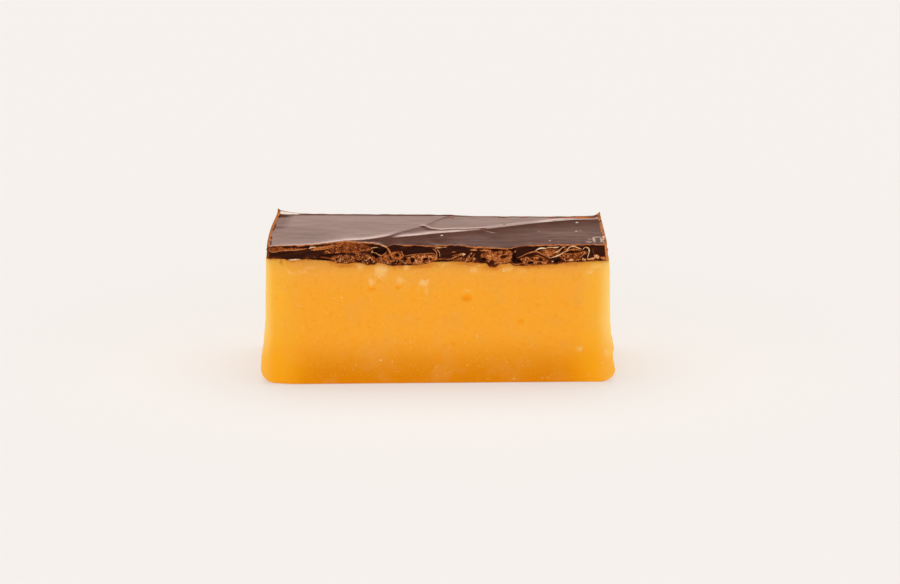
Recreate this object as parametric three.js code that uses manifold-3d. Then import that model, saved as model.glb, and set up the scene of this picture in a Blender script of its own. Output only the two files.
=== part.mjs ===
// A hand-cut slab of chocolate orange fudge: a block of orange fudge under a poured layer of dark chocolate.
//
// Millimetres. +X runs along the slab, +Y to its back and +Z up. The origin is under the middle of the slab,
// on the surface that it stands on. The knife went down through both layers along the front: it left the soft
// fudge smooth, and broke the brittle chocolate into torn patches, pockets and folds.
import * as THREE from "three";
import { mergeVertices } from "three/addons/utils/BufferGeometryUtils.js";
import Module from "manifold-3d";

// ---------- Driving dimensions ----------

const LENGTH = 80; // along X, at the top
const HEIGHT = 33.4; // from the foot to the poured top
const DEPTH = { left: 35.2, right: 31.8 }; // the back was cut at a slight angle to the front
const FRONT_SKEW = 0.65; // how far the left end of the front cut stands forward, and the right end back
const LAYER_STEP = 0.42; // the layer is thinner at the left by twice this
const LAYER_BASE = 30.2; // mean height of the face between fudge and chocolate
const GAP = 0.1; // between the two solids, all over that face
const OVERHANG = 0.35; // how far the torn chocolate stands in front of the fudge
const HEM = 0.2; // how far its lower edge hangs below that face
const CUT_WAVE = 0.2; // unevenness of the chocolate's back and ends

const FUDGE_EDGE = new THREE.Vector3(1.3, 0.8, 1.2); // radii of the block's soft edges, along X, Y and Z
const FUDGE_GRID = { x: 30, y: 12, z: 18 };
const FUDGE_WAVE = 0.13; // unevenness of the cut faces
const FOOT = { tall: 2.5, hollow: 0.08 }; // bows and waves fade out down to a foot whose edges are a hair hollow

// The two ends seen from above: how far each reaches at its front and back corner, and how far it bows out
// between them. lean is how far the foot of the chocolate stands out past its top. profile is how far the
// slumped fudge stands out, as [z, out].
const ENDS = {
  left: {
    front: 39.8, back: 39.4, bow: 0.45, lean: 0.1,
    profile: [[0, -0.2], [0.5, 0.6], [0.9, 0.95], [1.9, 1.6], [3.2, 1.95], [6.1, 1.8], [9.1, 1.25], [16.4, 0.65],
      [29.6, 0.3], [31, 0.2]],
  },
  right: {
    front: 39.95, back: 40, bow: 0.1, lean: 0.35,
    profile: [[0, 0.4], [0.9, 1.4], [1.6, 2.15], [2.8, 2.5], [3.8, 2.3], [5.4, 1.65], [8.4, 2.1], [10.6, 1.5],
      [13.5, 1.25], [16.4, 1.08], [29.6, 0.78], [31, 0.55]],
  },
};
// The front foot creeps forward: most near the left end, less and less towards the right, and not at all at the
// left corner itself. corner is the part of the half length over which it fades there.
const FOOT_SPREAD = { out: 1.2, tall: 6, corner: 0.16 };

// Air bubbles that the knife opened. face is the cut that shows them; u runs along that face.
const PITS = [
  { face: "front", u: 7.0, z: 20.8, wide: 2.2, tall: 1.4, deep: 0.8 },
  { face: "front", u: -15.4, z: 23.1, wide: 1.7, tall: 0.9, deep: 0.5 },
  { face: "front", u: -9.3, z: 23.3, wide: 1.4, tall: 0.8, deep: 0.5 },
  { face: "front", u: 19.9, z: 15.2, wide: 1.4, tall: 1.1, deep: 0.5 },
  { face: "front", u: 25.0, z: 15.3, wide: 1.2, tall: 0.9, deep: 0.3 },
  { face: "front", u: 3.8, z: 9.6, wide: 1.1, tall: 0.9, deep: 0.5 },
  { face: "front", u: -38.0, z: 20.9, wide: 1.3, tall: 0.8, deep: 0.3 },
  { face: "back", u: -21.0, z: 18.0, wide: 2.0, tall: 1.3, deep: 0.7 },
  { face: "back", u: 13.0, z: 12.4, wide: 1.4, tall: 1.0, deep: 0.5 },
  { face: "back", u: 27.5, z: 22.6, wide: 1.6, tall: 1.0, deep: 0.5 },
];

// The front top edge of the chocolate, as [x, back, lift]: it steps back and lifts where a flake broke away,
// and dips in notches.
const LIP = [
  [-40, 0, 0.1], [-36.6, 0, 0.24], [-31.5, 0.1, 0.33], [-27.4, 1.0, 0.38], [-21.3, 2.8, 0.75], [-19, 2.5, 0.7],
  [-14, 1.4, 0.58], [-11.8, 0.1, 0.15], [-10.1, 0.7, 0.5], [-8.1, 0.2, 0.28], [-6.6, 0.3, 0.3], [-1.6, 0, 0.08],
  [2, 0.4, 0.15], [5.5, 0.1, 0.22], [8.4, 0, -0.15], [14.3, -0.1, -0.45], [17.2, -0.1, -0.62], [18.4, 0, -0.3],
  [20.1, 0, 0], [23.1, 0, 0.18], [28.9, 0, 0.3], [40, 0, 0.34],
];
// How far behind the edge a lift or dip dies away: soon where the edge is torn, and slowly at its calm right end.
const LIP_FADE = { torn: 2.6, calm: 9, from: 17, to: 22 };

// Crumbs and smears that the knife dragged down over the fudge.
const SMEARS = [
  { x: -33.2, wide: 1.6, down: 0.35 },
  { x: -22.4, wide: 2.8, down: 1.15 },
  { x: -16.6, wide: 2.4, down: 1.2 },
  { x: -9.0, wide: 2.6, down: 0.95 },
  { x: -3.8, wide: 2.8, down: 0.85 },
  { x: 7.0, wide: 2.2, down: 0.3 },
  { x: 13.0, wide: 1.0, down: 0.9 },
  { x: 13.6, wide: 4.0, down: 0.6 },
  { x: 19.0, wide: 2.0, down: 0.5 },
  { x: 24.6, wide: 4.2, down: 0.7 },
  { x: 32.6, wide: 4.0, down: 0.65 },
];

// Relief of the torn front: lumps stand out and pockets go in (out below 0). wide and tall are half sizes, and
// a sharp feature has steep sides.
const LUMPS = [
  { x: -22.6, z: 30.3, wide: 2.6, tall: 1.0, out: 0.5, sharp: 1.5 },
  { x: -16.9, z: 30.4, wide: 2.6, tall: 1.1, out: 0.55, sharp: 1.5 },
  { x: -20.6, z: 33.0, wide: 6.2, tall: 1.1, out: 0.35, sharp: 1.5 },
  { x: -9.8, z: 31.0, wide: 1.9, tall: 1.7, out: 0.3, sharp: 2 },
  { x: -4.2, z: 30.2, wide: 4.2, tall: 1.1, out: 0.45, sharp: 2 },
  { x: 13.6, z: 30.9, wide: 3.7, tall: 1.3, out: 0.4, sharp: 2 },
  { x: 22.6, z: 30.2, wide: 3.6, tall: 1.0, out: 0.4, sharp: 2 },
  { x: 31.8, z: 30.2, wide: 4.2, tall: 0.9, out: 0.35, sharp: 2 },
  { x: -24.0, z: 31.5, wide: 3.4, tall: 0.45, out: -0.6, sharp: 2 },
  { x: -13.3, z: 32.4, wide: 1.7, tall: 0.75, out: -1.0, sharp: 3 },
  { x: -14.6, z: 31.1, wide: 1.0, tall: 0.5, out: -0.7, sharp: 3 },
  { x: -9.3, z: 31.5, wide: 0.6, tall: 0.5, out: -0.7, sharp: 2 },
  { x: -4.9, z: 32.4, wide: 4.2, tall: 0.9, out: -0.4, sharp: 3 },
  { x: -6.0, z: 30.4, wide: 0.6, tall: 0.5, out: -0.6, sharp: 2 },
  { x: -2.6, z: 30.4, wide: 0.8, tall: 0.45, out: -0.7, sharp: 2 },
  { x: 5.0, z: 31.6, wide: 3.4, tall: 1.3, out: -0.3, sharp: 3 },
  { x: 9.9, z: 31.3, wide: 0.6, tall: 1.1, out: -0.6, sharp: 2 },
  { x: 17.9, z: 30.9, wide: 0.7, tall: 1.3, out: -0.7, sharp: 2 },
  { x: 20.6, z: 32.4, wide: 2.6, tall: 0.9, out: -0.4, sharp: 3 },
  { x: 38.2, z: 31.6, wide: 1.6, tall: 1.4, out: -0.15, sharp: 3 },
];

// Folds of soft chocolate that the blade dragged along the face, each from its first point to its last.
const FOLDS = [
  { path: [[-39.2, 31.9], [-35.6, 32.5], [-32.1, 32.6], [-29.6, 33.0]], wide: 0.45, out: 0.3 },
  { path: [[-11.8, 33.2], [-11.3, 31.6], [-10.4, 29.9]], wide: 0.5, out: 0.4 },
  { path: [[18.6, 30.7], [21.2, 31.6], [22.9, 32.3], [24.6, 31.7], [26.5, 30.5]], wide: 0.5, out: 0.4 },
  { path: [[26.5, 30.5], [29.4, 31.6], [31.2, 32.7], [33.2, 33.0], [34.8, 32.4]], wide: 0.5, out: 0.5 },
  { path: [[34.4, 31.2], [35.1, 32.6], [36.0, 32.4], [36.2, 31.0]], wide: 0.4, out: 0.4 },
];

// The poured top is two overlapping sheets, whose edges are lines seen from above. The first sheet lies at the
// left and falls away in front of its edge. The second comes from the front right and runs over the first: behind
// its edge it climbs to its own level, and on the edge it is swollen.
const FIRST_SHEET = {
  edge: [[-40, -19], [-28.6, -16], [-21.4, -13], [-16.1, -10.4], [-11.7, -6.8], [-8, -0.8], [-3.3, 4.7],
    [-1.7, 8.4], [0.8, 12.5], [2.8, 16], [6, 22], [12, 34]],
  drop: 0.32,
  run: 7,
  crest: 0.08,
};
const SECOND_SHEET = {
  edge: [[-12.5, -8.6], [-5.5, -6.7], [0.1, -3.8], [5.8, -2.2], [10.8, 0], [17, 3.3], [23.3, 6.6], [28.9, 9.1],
    [33.3, 10.7], [41, 11.4]],
  from: -13,
  climb: 4.5,
  run: 2.2,
  crest: 0.16,
};
const CREST_WIDE = { first: 1.1, second: 1.5 };
const SHEET_SLANT = 0.85; // distance square to a slanting edge, for each millimetre along Y

// The knife left a thin rim along both ends, which curls up at the back corners.
const RIM = { wide: 0.38, high: 0.32 };
const CURLS = [
  { side: -1, high: 0.45, alongX: 2.2, alongY: 2.0 },
  { side: -1, high: 0.5, alongX: 5.2, alongY: 0.45 },
  { side: 1, high: 0.6, alongX: 1.1, alongY: 2.6 },
  { side: 1, high: 0.3, alongX: 7.0, alongY: 0.7 },
];

// Rows and columns of the chocolate's skin.
const FINE_COLUMNS = 124; // along the torn front
const PLAIN_COLUMNS = 56; // along the rest of the top and the back
const UNDER_COLUMNS = 22; // along the hidden underside
const CROWDING = 0.45;
const WALL_LEVELS = 8;
const FINE_TOP_ROWS = 2;
const TOP_ROWS = [0, 0.012, 0.032, 0.07, 0.13, 0.2, 0.28, 0.36, 0.44, 0.52, 0.6, 0.68, 0.76, 0.84, 0.91, 0.96, 1];

const HALF = LENGTH / 2;

// ---------- Shape functions ----------

// A bell of height 1 at 0. A sharpness above 1 gives it a flatter top and steeper sides.
function bell(t, sharpness = 1) {
  return Math.exp(-((t * t) ** sharpness));
}

// 1 over the slab, falling to 0 at its ends over the last `fade` millimetres.
function insideEnds(x, fade) {
  return 1 - THREE.MathUtils.smoothstep(Math.abs(x), HALF - fade, HALF);
}

// A sum of three sine waves: the same gentle unevenness at each run of the program.
function wave(a, b, length) {
  const k = (2 * Math.PI) / length;
  return (
    (Math.sin(k * (a + 0.35 * b) + 0.7) +
      Math.sin(k * (0.61 * a - 0.83 * b) + 2.1) +
      Math.sin(k * (1.37 * a + 1.21 * b) + 4.4)) / 3
  );
}

// One number of a table of points at x: straight between points, which are sorted along their first number.
function lineAt(points, x, column = 1) {
  let i = 1;
  while (i < points.length - 1 && points[i][0] < x) i++;
  const before = points[i - 1];
  const after = points[i];
  return THREE.MathUtils.mapLinear(x, before[0], after[0], before[column], after[column]);
}

// The two long cuts, seen from above.
function frontY(x) {
  return -(DEPTH.left + DEPTH.right) / 4 + FRONT_SKEW * (x / HALF);
}

function backY(x) {
  const depth = THREE.MathUtils.mapLinear(x, -HALF, HALF, DEPTH.left, DEPTH.right);
  return frontY(x) + depth;
}

// The face between fudge and chocolate.
function layerZ(x, y) {
  return LAYER_BASE - LAYER_STEP * Math.tanh((x + 27) / 5) + 0.08 * wave(x, y, 23);
}

// Where a point of a straight-ended slab lies once the slab is stretched to its bowed end. loose is 1 where the
// end has its whole bow, and 0 at the foot.
function stretch(x, y, loose, pastEnd) {
  const end = x < 0 ? ENDS.left : ENDS.right;
  const across = (2 * y) / DEPTH.left;
  const bow = THREE.MathUtils.lerp(-FOOT.hollow, end.bow, loose) * (1 - across ** 2);
  const reach = THREE.MathUtils.mapLinear(across, -1, 1, end.front, end.back) + bow;
  return (x / HALF) * (reach + pastEnd(end));
}

// ---------- Fudge ----------

// A box whose vertical and foot edges are rounded: what lies outside the inner box is pulled onto an ellipsoid.
function softenEdges(p, half, height) {
  const inner = new THREE.Vector3(
    THREE.MathUtils.clamp(p.x, -half.x + FUDGE_EDGE.x, half.x - FUDGE_EDGE.x),
    THREE.MathUtils.clamp(p.y, -half.y + FUDGE_EDGE.y, half.y - FUDGE_EDGE.y),
    THREE.MathUtils.clamp(p.z, FUDGE_EDGE.z, height),
  );
  const past = p.clone().sub(inner).divide(FUDGE_EDGE);
  if (past.lengthSq() > 0) past.normalize();
  return inner.add(past.multiply(FUDGE_EDGE));
}

function fudgeGeometry() {
  const half = new THREE.Vector3(HALF, DEPTH.left / 2, 0);
  const box = new THREE.BoxGeometry(2, 2, 2, FUDGE_GRID.x, FUDGE_GRID.y, FUDGE_GRID.z);
  const position = box.attributes.position;
  const p = new THREE.Vector3();
  for (let i = 0; i < position.count; i++) {
    p.fromBufferAttribute(position, i);
    // Grid lines crowd towards the ends, the long cuts and the foot, where the block is rounded.
    p.set(Math.sin((p.x * Math.PI) / 2), Math.sin((p.y * Math.PI) / 2), ((p.z + 1) / 2) ** 1.35);
    p.multiply(new THREE.Vector3(half.x, half.y, LAYER_BASE));
    const q = softenEdges(p, half, LAYER_BASE);
    const along = q.x / HALF;
    const across = q.y / half.y;
    const loose = THREE.MathUtils.smoothstep(q.z, 0, FOOT.tall);
    const x = stretch(q.x, q.y, loose, (end) => lineAt(end.profile, q.z));
    const still = 1 - (q.z / LAYER_BASE) ** 4; // the top edges stay straight, under the chocolate
    const bulge = THREE.MathUtils.lerp(-FOOT.hollow * (1 - along ** 2), FUDGE_WAVE * wave(q.x, q.z, 19), loose);
    const creep = ((1 - along) / 2) * THREE.MathUtils.smoothstep(along, -1, FOOT_SPREAD.corner - 1);
    const foot = FOOT_SPREAD.out * creep * bell(q.z / FOOT_SPREAD.tall) * Math.max(0, -across);
    const middle = (frontY(q.x) + backY(q.x)) / 2;
    const halfDepth = (backY(q.x) - frontY(q.x)) / 2;
    const y = middle + across * (halfDepth + still * bulge) - foot;
    position.setXYZ(i, x, y, (q.z * (layerZ(q.x, y) - GAP)) / LAYER_BASE);
  }
  return box;
}

// An ellipsoid that cuts one bubble out of a long face.
function pitGeometry(pit) {
  const bubble = new THREE.IcosahedronGeometry(1, 1);
  bubble.scale(pit.wide / 2, pit.deep, pit.tall / 2);
  bubble.translate(pit.u, pit.face === "front" ? frontY(pit.u) : backY(pit.u), pit.z);
  return bubble;
}

// ---------- Chocolate ----------

function lipY(x) {
  return frontY(x) + lineAt(LIP, x, 1) + 0.12 * wave(x, 0, 3.1);
}

function lipLift(x) {
  return lineAt(LIP, x, 2) + 0.07 * wave(x, 5, 2.3);
}

// How far the pour lies above or below the plain top.
function pourZ(x, y) {
  const first = SHEET_SLANT * (lineAt(FIRST_SHEET.edge, x) - y); // how far in front of the sheet's edge
  const second = SHEET_SLANT * (lineAt(SECOND_SHEET.edge, x) - y);
  const begun = THREE.MathUtils.smoothstep(x, SECOND_SHEET.from, SECOND_SHEET.from + 6);
  const over = begun * THREE.MathUtils.smoothstep(second, -SECOND_SHEET.climb, 0);
  const fallen = 1 - Math.exp(-Math.max(first, 0) / FIRST_SHEET.run);
  const swell = bell(first / CREST_WIDE.first) * (1 - THREE.MathUtils.smoothstep(x, -16, -9));
  const front = second > 0 ? Math.exp(-second / SECOND_SHEET.run) : bell(second / CREST_WIDE.second);
  const crests = FIRST_SHEET.crest * swell + SECOND_SHEET.crest * begun * front;
  return crests - FIRST_SHEET.drop * fallen * (1 - over);
}

function rimZ(x, y) {
  const rims = [-1, 1].map((side) => RIM.high * bell((x - side * HALF) / RIM.wide));
  const curls = CURLS.map(
    (c) => c.high * bell((x - c.side * HALF) / c.alongX) * bell((y - backY(x)) / c.alongY),
  );
  return [...rims, ...curls].reduce((sum, high) => sum + high, 0);
}

function topZ(x, y) {
  const calm = THREE.MathUtils.smoothstep(x, LIP_FADE.from, LIP_FADE.to);
  const fade = THREE.MathUtils.lerp(LIP_FADE.torn, LIP_FADE.calm, calm);
  return HEIGHT + pourZ(x, y) + rimZ(x, y) + lipLift(x) * Math.exp(-(y - lipY(x)) / fade);
}

// The lower edge of the torn front, with its smears.
function lowerZ(x) {
  const smears = SMEARS.reduce((sum, s) => sum + s.down * bell((x - s.x) / s.wide, 1.5), 0);
  return layerZ(x, frontY(x)) - HEM - smears * insideEnds(x, 1.5);
}

// Distance from (x, z) to the straight pieces of a path.
function distanceTo(path, x, z) {
  const spot = new THREE.Vector3(x, z, 0);
  const near = new THREE.Vector3();
  let best = Infinity;
  for (let i = 1; i < path.length; i++) {
    const piece = new THREE.Line3(new THREE.Vector3(...path[i - 1], 0), new THREE.Vector3(...path[i], 0));
    piece.closestPointToPoint(spot, true, near);
    best = Math.min(best, near.distanceTo(spot));
  }
  return best;
}

// How far the torn front stands out from its plain wall.
function tornRelief(x, z) {
  const lumps = LUMPS.reduce((sum, f) => {
    const radius = Math.hypot((x - f.x) / f.wide, (z - f.z) / f.tall);
    return sum + f.out * bell(radius, f.sharp);
  }, 0);
  const folds = FOLDS.reduce((most, f) => Math.max(most, f.out * bell(distanceTo(f.path, x, z) / f.wide)), 0);
  const grain = 0.09 * wave(x, 2 * z, 2.1) + 0.05 * wave(z, x, 1.3);
  return lumps + folds + grain;
}

// A point of the front wall. level runs from 0 at the lower edge to 1 at the lip.
function frontPoint(x, level) {
  const foot = frontY(x) - OVERHANG;
  const z = THREE.MathUtils.lerp(lowerZ(x), topZ(x, lipY(x)), level);
  const y = THREE.MathUtils.lerp(foot, lipY(x), level ** 1.6);
  const share = 4 * level * (1 - level); // the relief dies away at both edges
  const free = Math.min(1, share) * insideEnds(x, 0.6);
  return new THREE.Vector3(x, y - free * tornRelief(x, z), z);
}

function backPoint(x, level) {
  const low = layerZ(x, backY(x)) + GAP;
  const z = THREE.MathUtils.lerp(low, topZ(x, backY(x)), level);
  return new THREE.Vector3(x, backY(x) + CUT_WAVE * level * wave(x, 3 * z, 5.3), z);
}

function topPoint(x, row) {
  const y = THREE.MathUtils.lerp(lipY(x), backPoint(x, 1).y, row);
  return new THREE.Vector3(x, y, topZ(x, y));
}

// The underside. Its first row hangs in front of the fudge, its second turns the corner over the fudge's edge,
// and the others lie on the fudge.
function underPoint(x, row) {
  const hang = frontY(x) - GAP;
  if (row === 1) return new THREE.Vector3(x, hang, lowerZ(x) + GAP);
  if (row === 2) return new THREE.Vector3(x, hang, layerZ(x, hang) + GAP);
  const y = THREE.MathUtils.lerp(hang, backPoint(x, 0).y, TOP_ROWS[row]);
  return new THREE.Vector3(x, y, layerZ(x, y) + GAP);
}

// Columns along X that crowd towards both ends, where the rims are. CROWDING runs from 0, even columns, to 1.
function columns(count) {
  return Array.from({ length: count + 1 }, (_, i) => {
    const t = (2 * i) / count - 1;
    return HALF * THREE.MathUtils.lerp(t, Math.sin((t * Math.PI) / 2), CROWDING);
  });
}

// A skin of triangles between rows of points. A row may have more points than its neighbour.
class Skin {
  constructor() {
    this.corners = [];
  }

  // Fills the strip between two rows that both run from left to right; seen from outside, b is above a.
  zip(a, b) {
    let i = 0;
    let j = 0;
    while (i < a.length - 1 || j < b.length - 1) {
      const nextA = i < a.length - 1 ? (i + 1) / (a.length - 1) : Infinity;
      const nextB = j < b.length - 1 ? (j + 1) / (b.length - 1) : Infinity;
      if (nextA <= nextB) {
        this.corners.push(a[i], a[i + 1], b[j]);
        i++;
      } else {
        this.corners.push(a[i], b[j + 1], b[j]);
        j++;
      }
    }
  }

  zipAll(rows) {
    rows.slice(1).forEach((row, i) => this.zip(rows[i], row));
  }

  // The skin as triangles, stretched to the slab's bowed ends.
  geometry() {
    const stretched = this.corners.map((p) => {
      const low = THREE.MathUtils.clamp((HEIGHT - p.z) / (HEIGHT - LAYER_BASE), 0, 1);
      return new THREE.Vector3(stretch(p.x, p.y, 1, (end) => end.lean * low), p.y, p.z);
    });
    return new THREE.BufferGeometry().setFromPoints(stretched);
  }
}

function chocolateGeometry() {
  const last = TOP_ROWS.length - 1;
  const fine = columns(FINE_COLUMNS);
  const plain = columns(PLAIN_COLUMNS);
  const under = columns(UNDER_COLUMNS);
  const levels = Array.from({ length: WALL_LEVELS + 1 }, (_, k) => k / WALL_LEVELS);

  const front = levels.map((level) => fine.map((x) => frontPoint(x, level)));
  const top = TOP_ROWS.map((row, j) => (j <= FINE_TOP_ROWS ? fine : plain).map((x) => topPoint(x, row)));
  top[0] = front[WALL_LEVELS];
  const back = levels.map((level) => plain.map((x) => backPoint(x, level))).reverse();
  top[last] = back[0];
  const below = TOP_ROWS.map((_, j) => (j < 3 ? fine : under).map((x) => underPoint(x, j)));
  below[0] = front[0];
  below[last] = back[WALL_LEVELS];

  const skin = new Skin();
  [front, top, back, below.slice().reverse()].forEach((rows) => skin.zipAll(rows));

  // Each end is a grid between the front and back walls, closed by the ends of the top and bottom rows.
  for (const side of [-1, 1]) {
    const tip = (row) => row[side < 0 ? 0 : row.length - 1];
    const posts = TOP_ROWS.map((_, j) => {
      if (j === 0) return front.map(tip);
      if (j === last) return back.map(tip).reverse();
      return levels.map((level) => {
        const p = tip(below[j]).clone().lerp(tip(top[j]), level);
        const free = 4 * level * (1 - level);
        p.x += side * CUT_WAVE * free * wave(p.y, 2.4 * p.z, 3.7);
        return p;
      });
    });
    skin.zipAll(side < 0 ? posts : posts.reverse());
  }
  return skin.geometry();
}

// ---------- Solids ----------

const wasm = await Module();
wasm.setup();

function toSolid(geometry) {
  const bare = geometry.clone();
  ["normal", "uv"].forEach((name) => bare.deleteAttribute(name));
  const merged = mergeVertices(bare, 1e-4);
  return new wasm.Manifold(
    new wasm.Mesh({
      numProp: 3,
      vertProperties: merged.attributes.position.array,
      triVerts: new Uint32Array(merged.index.array),
    }),
  );
}

function toGeometry(solid) {
  const mesh = solid.getMesh();
  const geometry = new THREE.BufferGeometry();
  geometry.setAttribute("position", new THREE.BufferAttribute(mesh.vertProperties, 3));
  geometry.setIndex(new THREE.BufferAttribute(mesh.triVerts, 1));
  geometry.computeVertexNormals();
  return geometry;
}

function fudgeBlock() {
  const block = PITS.reduce(
    (solid, pit) => solid.subtract(toSolid(pitGeometry(pit))),
    toSolid(fudgeGeometry()),
  );
  const material = new THREE.MeshStandardMaterial({ color: 0xf4a32e, roughness: 0.5, metalness: 0 });
  const mesh = new THREE.Mesh(toGeometry(block), material);
  mesh.name = "fudge_block";
  return mesh;
}

function chocolateLayer() {
  const material = new THREE.MeshStandardMaterial({ color: 0x3a1d14, roughness: 0.3, metalness: 0 });
  const mesh = new THREE.Mesh(toGeometry(toSolid(chocolateGeometry())), material);
  mesh.name = "chocolate_layer";
  return mesh;
}

const slab = new THREE.Group();
slab.add(fudgeBlock(), chocolateLayer());

// The origin goes under the middle of the slab's outer box.
const box = new THREE.Box3().setFromObject(slab);
const middle = box.getCenter(new THREE.Vector3());
slab.position.set(-middle.x, -middle.y, -box.min.z);

export default slab;
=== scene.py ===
# %% [markdown]
# # A slab of chocolate orange fudge
#
# The sweet is a block of soft orange fudge under a poured layer of dark chocolate, cut from a tray with a knife.
# The knife left the fudge smooth, and it broke the brittle chocolate into flakes, pockets and dragged folds.
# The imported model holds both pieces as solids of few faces. Here each of them gets a fine surface that follows
# the same formulas, and then its colours.
#
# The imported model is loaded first, and its outer box is kept, because nothing here may change its size.

# %% Load the frame
import math

import bpy
import numpy as np
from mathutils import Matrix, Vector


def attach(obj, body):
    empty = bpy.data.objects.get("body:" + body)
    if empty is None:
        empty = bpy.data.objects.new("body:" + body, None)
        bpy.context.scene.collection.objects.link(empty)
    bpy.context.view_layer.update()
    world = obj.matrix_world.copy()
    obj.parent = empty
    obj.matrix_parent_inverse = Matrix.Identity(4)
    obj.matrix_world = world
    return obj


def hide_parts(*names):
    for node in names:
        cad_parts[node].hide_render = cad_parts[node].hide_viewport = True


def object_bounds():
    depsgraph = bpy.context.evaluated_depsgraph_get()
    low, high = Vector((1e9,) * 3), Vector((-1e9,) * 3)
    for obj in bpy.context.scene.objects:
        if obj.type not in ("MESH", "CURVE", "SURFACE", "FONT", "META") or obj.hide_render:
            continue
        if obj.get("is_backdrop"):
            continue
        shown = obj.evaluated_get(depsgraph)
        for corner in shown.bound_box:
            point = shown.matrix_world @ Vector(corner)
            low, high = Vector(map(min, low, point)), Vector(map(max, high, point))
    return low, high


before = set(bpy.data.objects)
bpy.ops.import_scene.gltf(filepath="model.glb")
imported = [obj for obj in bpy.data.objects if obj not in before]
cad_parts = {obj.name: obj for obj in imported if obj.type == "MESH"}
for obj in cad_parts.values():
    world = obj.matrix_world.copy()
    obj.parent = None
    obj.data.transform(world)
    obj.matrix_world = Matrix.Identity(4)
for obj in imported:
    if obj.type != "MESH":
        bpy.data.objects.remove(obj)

MM = 0.001  # the surfaces are worked out in millimetres, and Blender's unit is the metre
CAD_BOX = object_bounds()
print("the packed model's box in mm:", [round(side / MM, 2) for side in CAD_BOX[1] - CAD_BOX[0]])

# %% [markdown]
# ## The camera
#
# The photo was taken from straight in front, with a long lens, from a little above. Three things fix the view:
# the slab's width in the picture, the height of its top's back edge over the front one, and how much narrower
# that back edge is. A camera that looks level sees no top, so this one is pitched down by PITCH.

# %% Place the camera
LENS = 108.0  # mm
SENSOR = 36.0  # mm
FAR_CLIP = 50.0  # m, well past the floor
CAMERA_PLACE = (2.82, -633.07, 179.7)  # mm
PITCH = 14.318  # degrees below level

lens = bpy.data.cameras.new("camera")
lens.lens = LENS
lens.sensor_width = SENSOR
lens.clip_end = FAR_CLIP
camera = bpy.data.objects.new("camera", lens)
camera.location = [MM * c for c in CAMERA_PLACE]
camera.rotation_euler = (math.radians(90 - PITCH), 0, 0)
bpy.context.collection.objects.link(camera)
bpy.context.scene.camera = camera
bpy.context.scene.view_settings.view_transform = "Standard"
print("camera at", CAMERA_PLACE, "mm, pitched down", PITCH, "degrees")

# %% [markdown]
# ## Shader sums as Python sums
#
# A material is a graph of small nodes, and a formula with ten operations needs ten of them. The class below
# wraps one output of one node. Adding or multiplying two such wires adds the Math node that does it, so a
# formula can be written as a formula. Every other kind of node comes from its one method, `node`.

# %% Wrap a node's output
class Wire:
    """One output of a node. Arithmetic with wires and numbers adds Math nodes and gives a new wire."""

    def __init__(self, tree, socket=None):
        self.tree = tree
        self.socket = socket

    def node(self, kind, settings=None, sockets=None, output=0):
        """Adds a node of any kind: first its settings, then the values or wires of its sockets."""
        made = self.tree.nodes.new("ShaderNode" + kind)
        for name, value in (settings or {}).items():
            if name == "stops":
                while len(made.color_ramp.elements) < len(value):
                    made.color_ramp.elements.new(1.0)
                for element, (place, colour) in zip(made.color_ramp.elements, value):
                    element.position = place
                    element.color = (*colour, 1.0)
            else:
                setattr(made, name, value)
        for name, value in (sockets or {}).items():
            if isinstance(value, Wire):
                self.tree.links.new(value.socket, made.inputs[name])
            else:
                made.inputs[name].default_value = value
        return Wire(self.tree, made.outputs[output]) if made.outputs else None

    def math(self, operation, first, second=0.0):
        """Adds a Math node, which works out its operation on two numbers or wires."""
        return self.node("Math", {"operation": operation}, {0: first, 1: second})

    def __add__(self, other):
        return self.math("ADD", self, other)

    def __sub__(self, other):
        return self.math("SUBTRACT", self, other)

    def __mul__(self, other):
        return self.math("MULTIPLY", self, other)

    def __radd__(self, other):
        return self.math("ADD", other, self)

    def __rsub__(self, other):
        return self.math("SUBTRACT", other, self)

    def __rmul__(self, other):
        return self.math("MULTIPLY", other, self)

    def ease(self, start, end):
        """An s-curve from 0 at start to 1 at end. With start above end it falls."""
        settings = {"interpolation_type": "SMOOTHSTEP"}
        low, high = min(start, end), max(start, end)
        rise = self.node("MapRange", settings, {"Value": self, "From Min": low, "From Max": high})
        return rise if start < end else 1.0 - rise

    def mix(self, below, above):
        """One colour laid over another, with this wire as the share of the upper one."""
        below, above = (colour if isinstance(colour, Wire) else (*colour, 1.0) for colour in (below, above))
        return self.node("Mix", {"data_type": "RGBA"}, {0: self, 6: below, 7: above}, 2)


def new_material(name):
    """An empty material, and a wire that can start its graph."""
    material = bpy.data.materials.new(name)
    material.use_nodes = True
    material.node_tree.nodes.clear()
    return material, Wire(material.node_tree)


def finish_material(start, surface):
    """Joins a shader to the material's output."""
    start.node("OutputMaterial", sockets={"Surface": surface})


print("shader sums are ready")

# %% [markdown]
# ## Floor and light
#
# The photo has a seamless pale floor and soft light, with a shadow only right under the slab. The sky gives two
# soft lights for that: a wide one overhead, which leans to the back and makes the tight shadow, and a low one in
# front, which lights the face but hardly the floor. The floor glows as well, as a product table lit from below
# does, and half of what it shows is that glow.
#
# The chocolate's top is a weak mirror at this low angle, and it shows what stands low behind the slab: a warm
# white up to about 15 degrees, then dark. Where the top is level it mirrors the white, and where it leans
# forward it mirrors the dark, and that is what draws the pour lines in the photo. So the sky is a mix of two
# ramps over height, one for the front and one for the back.

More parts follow.
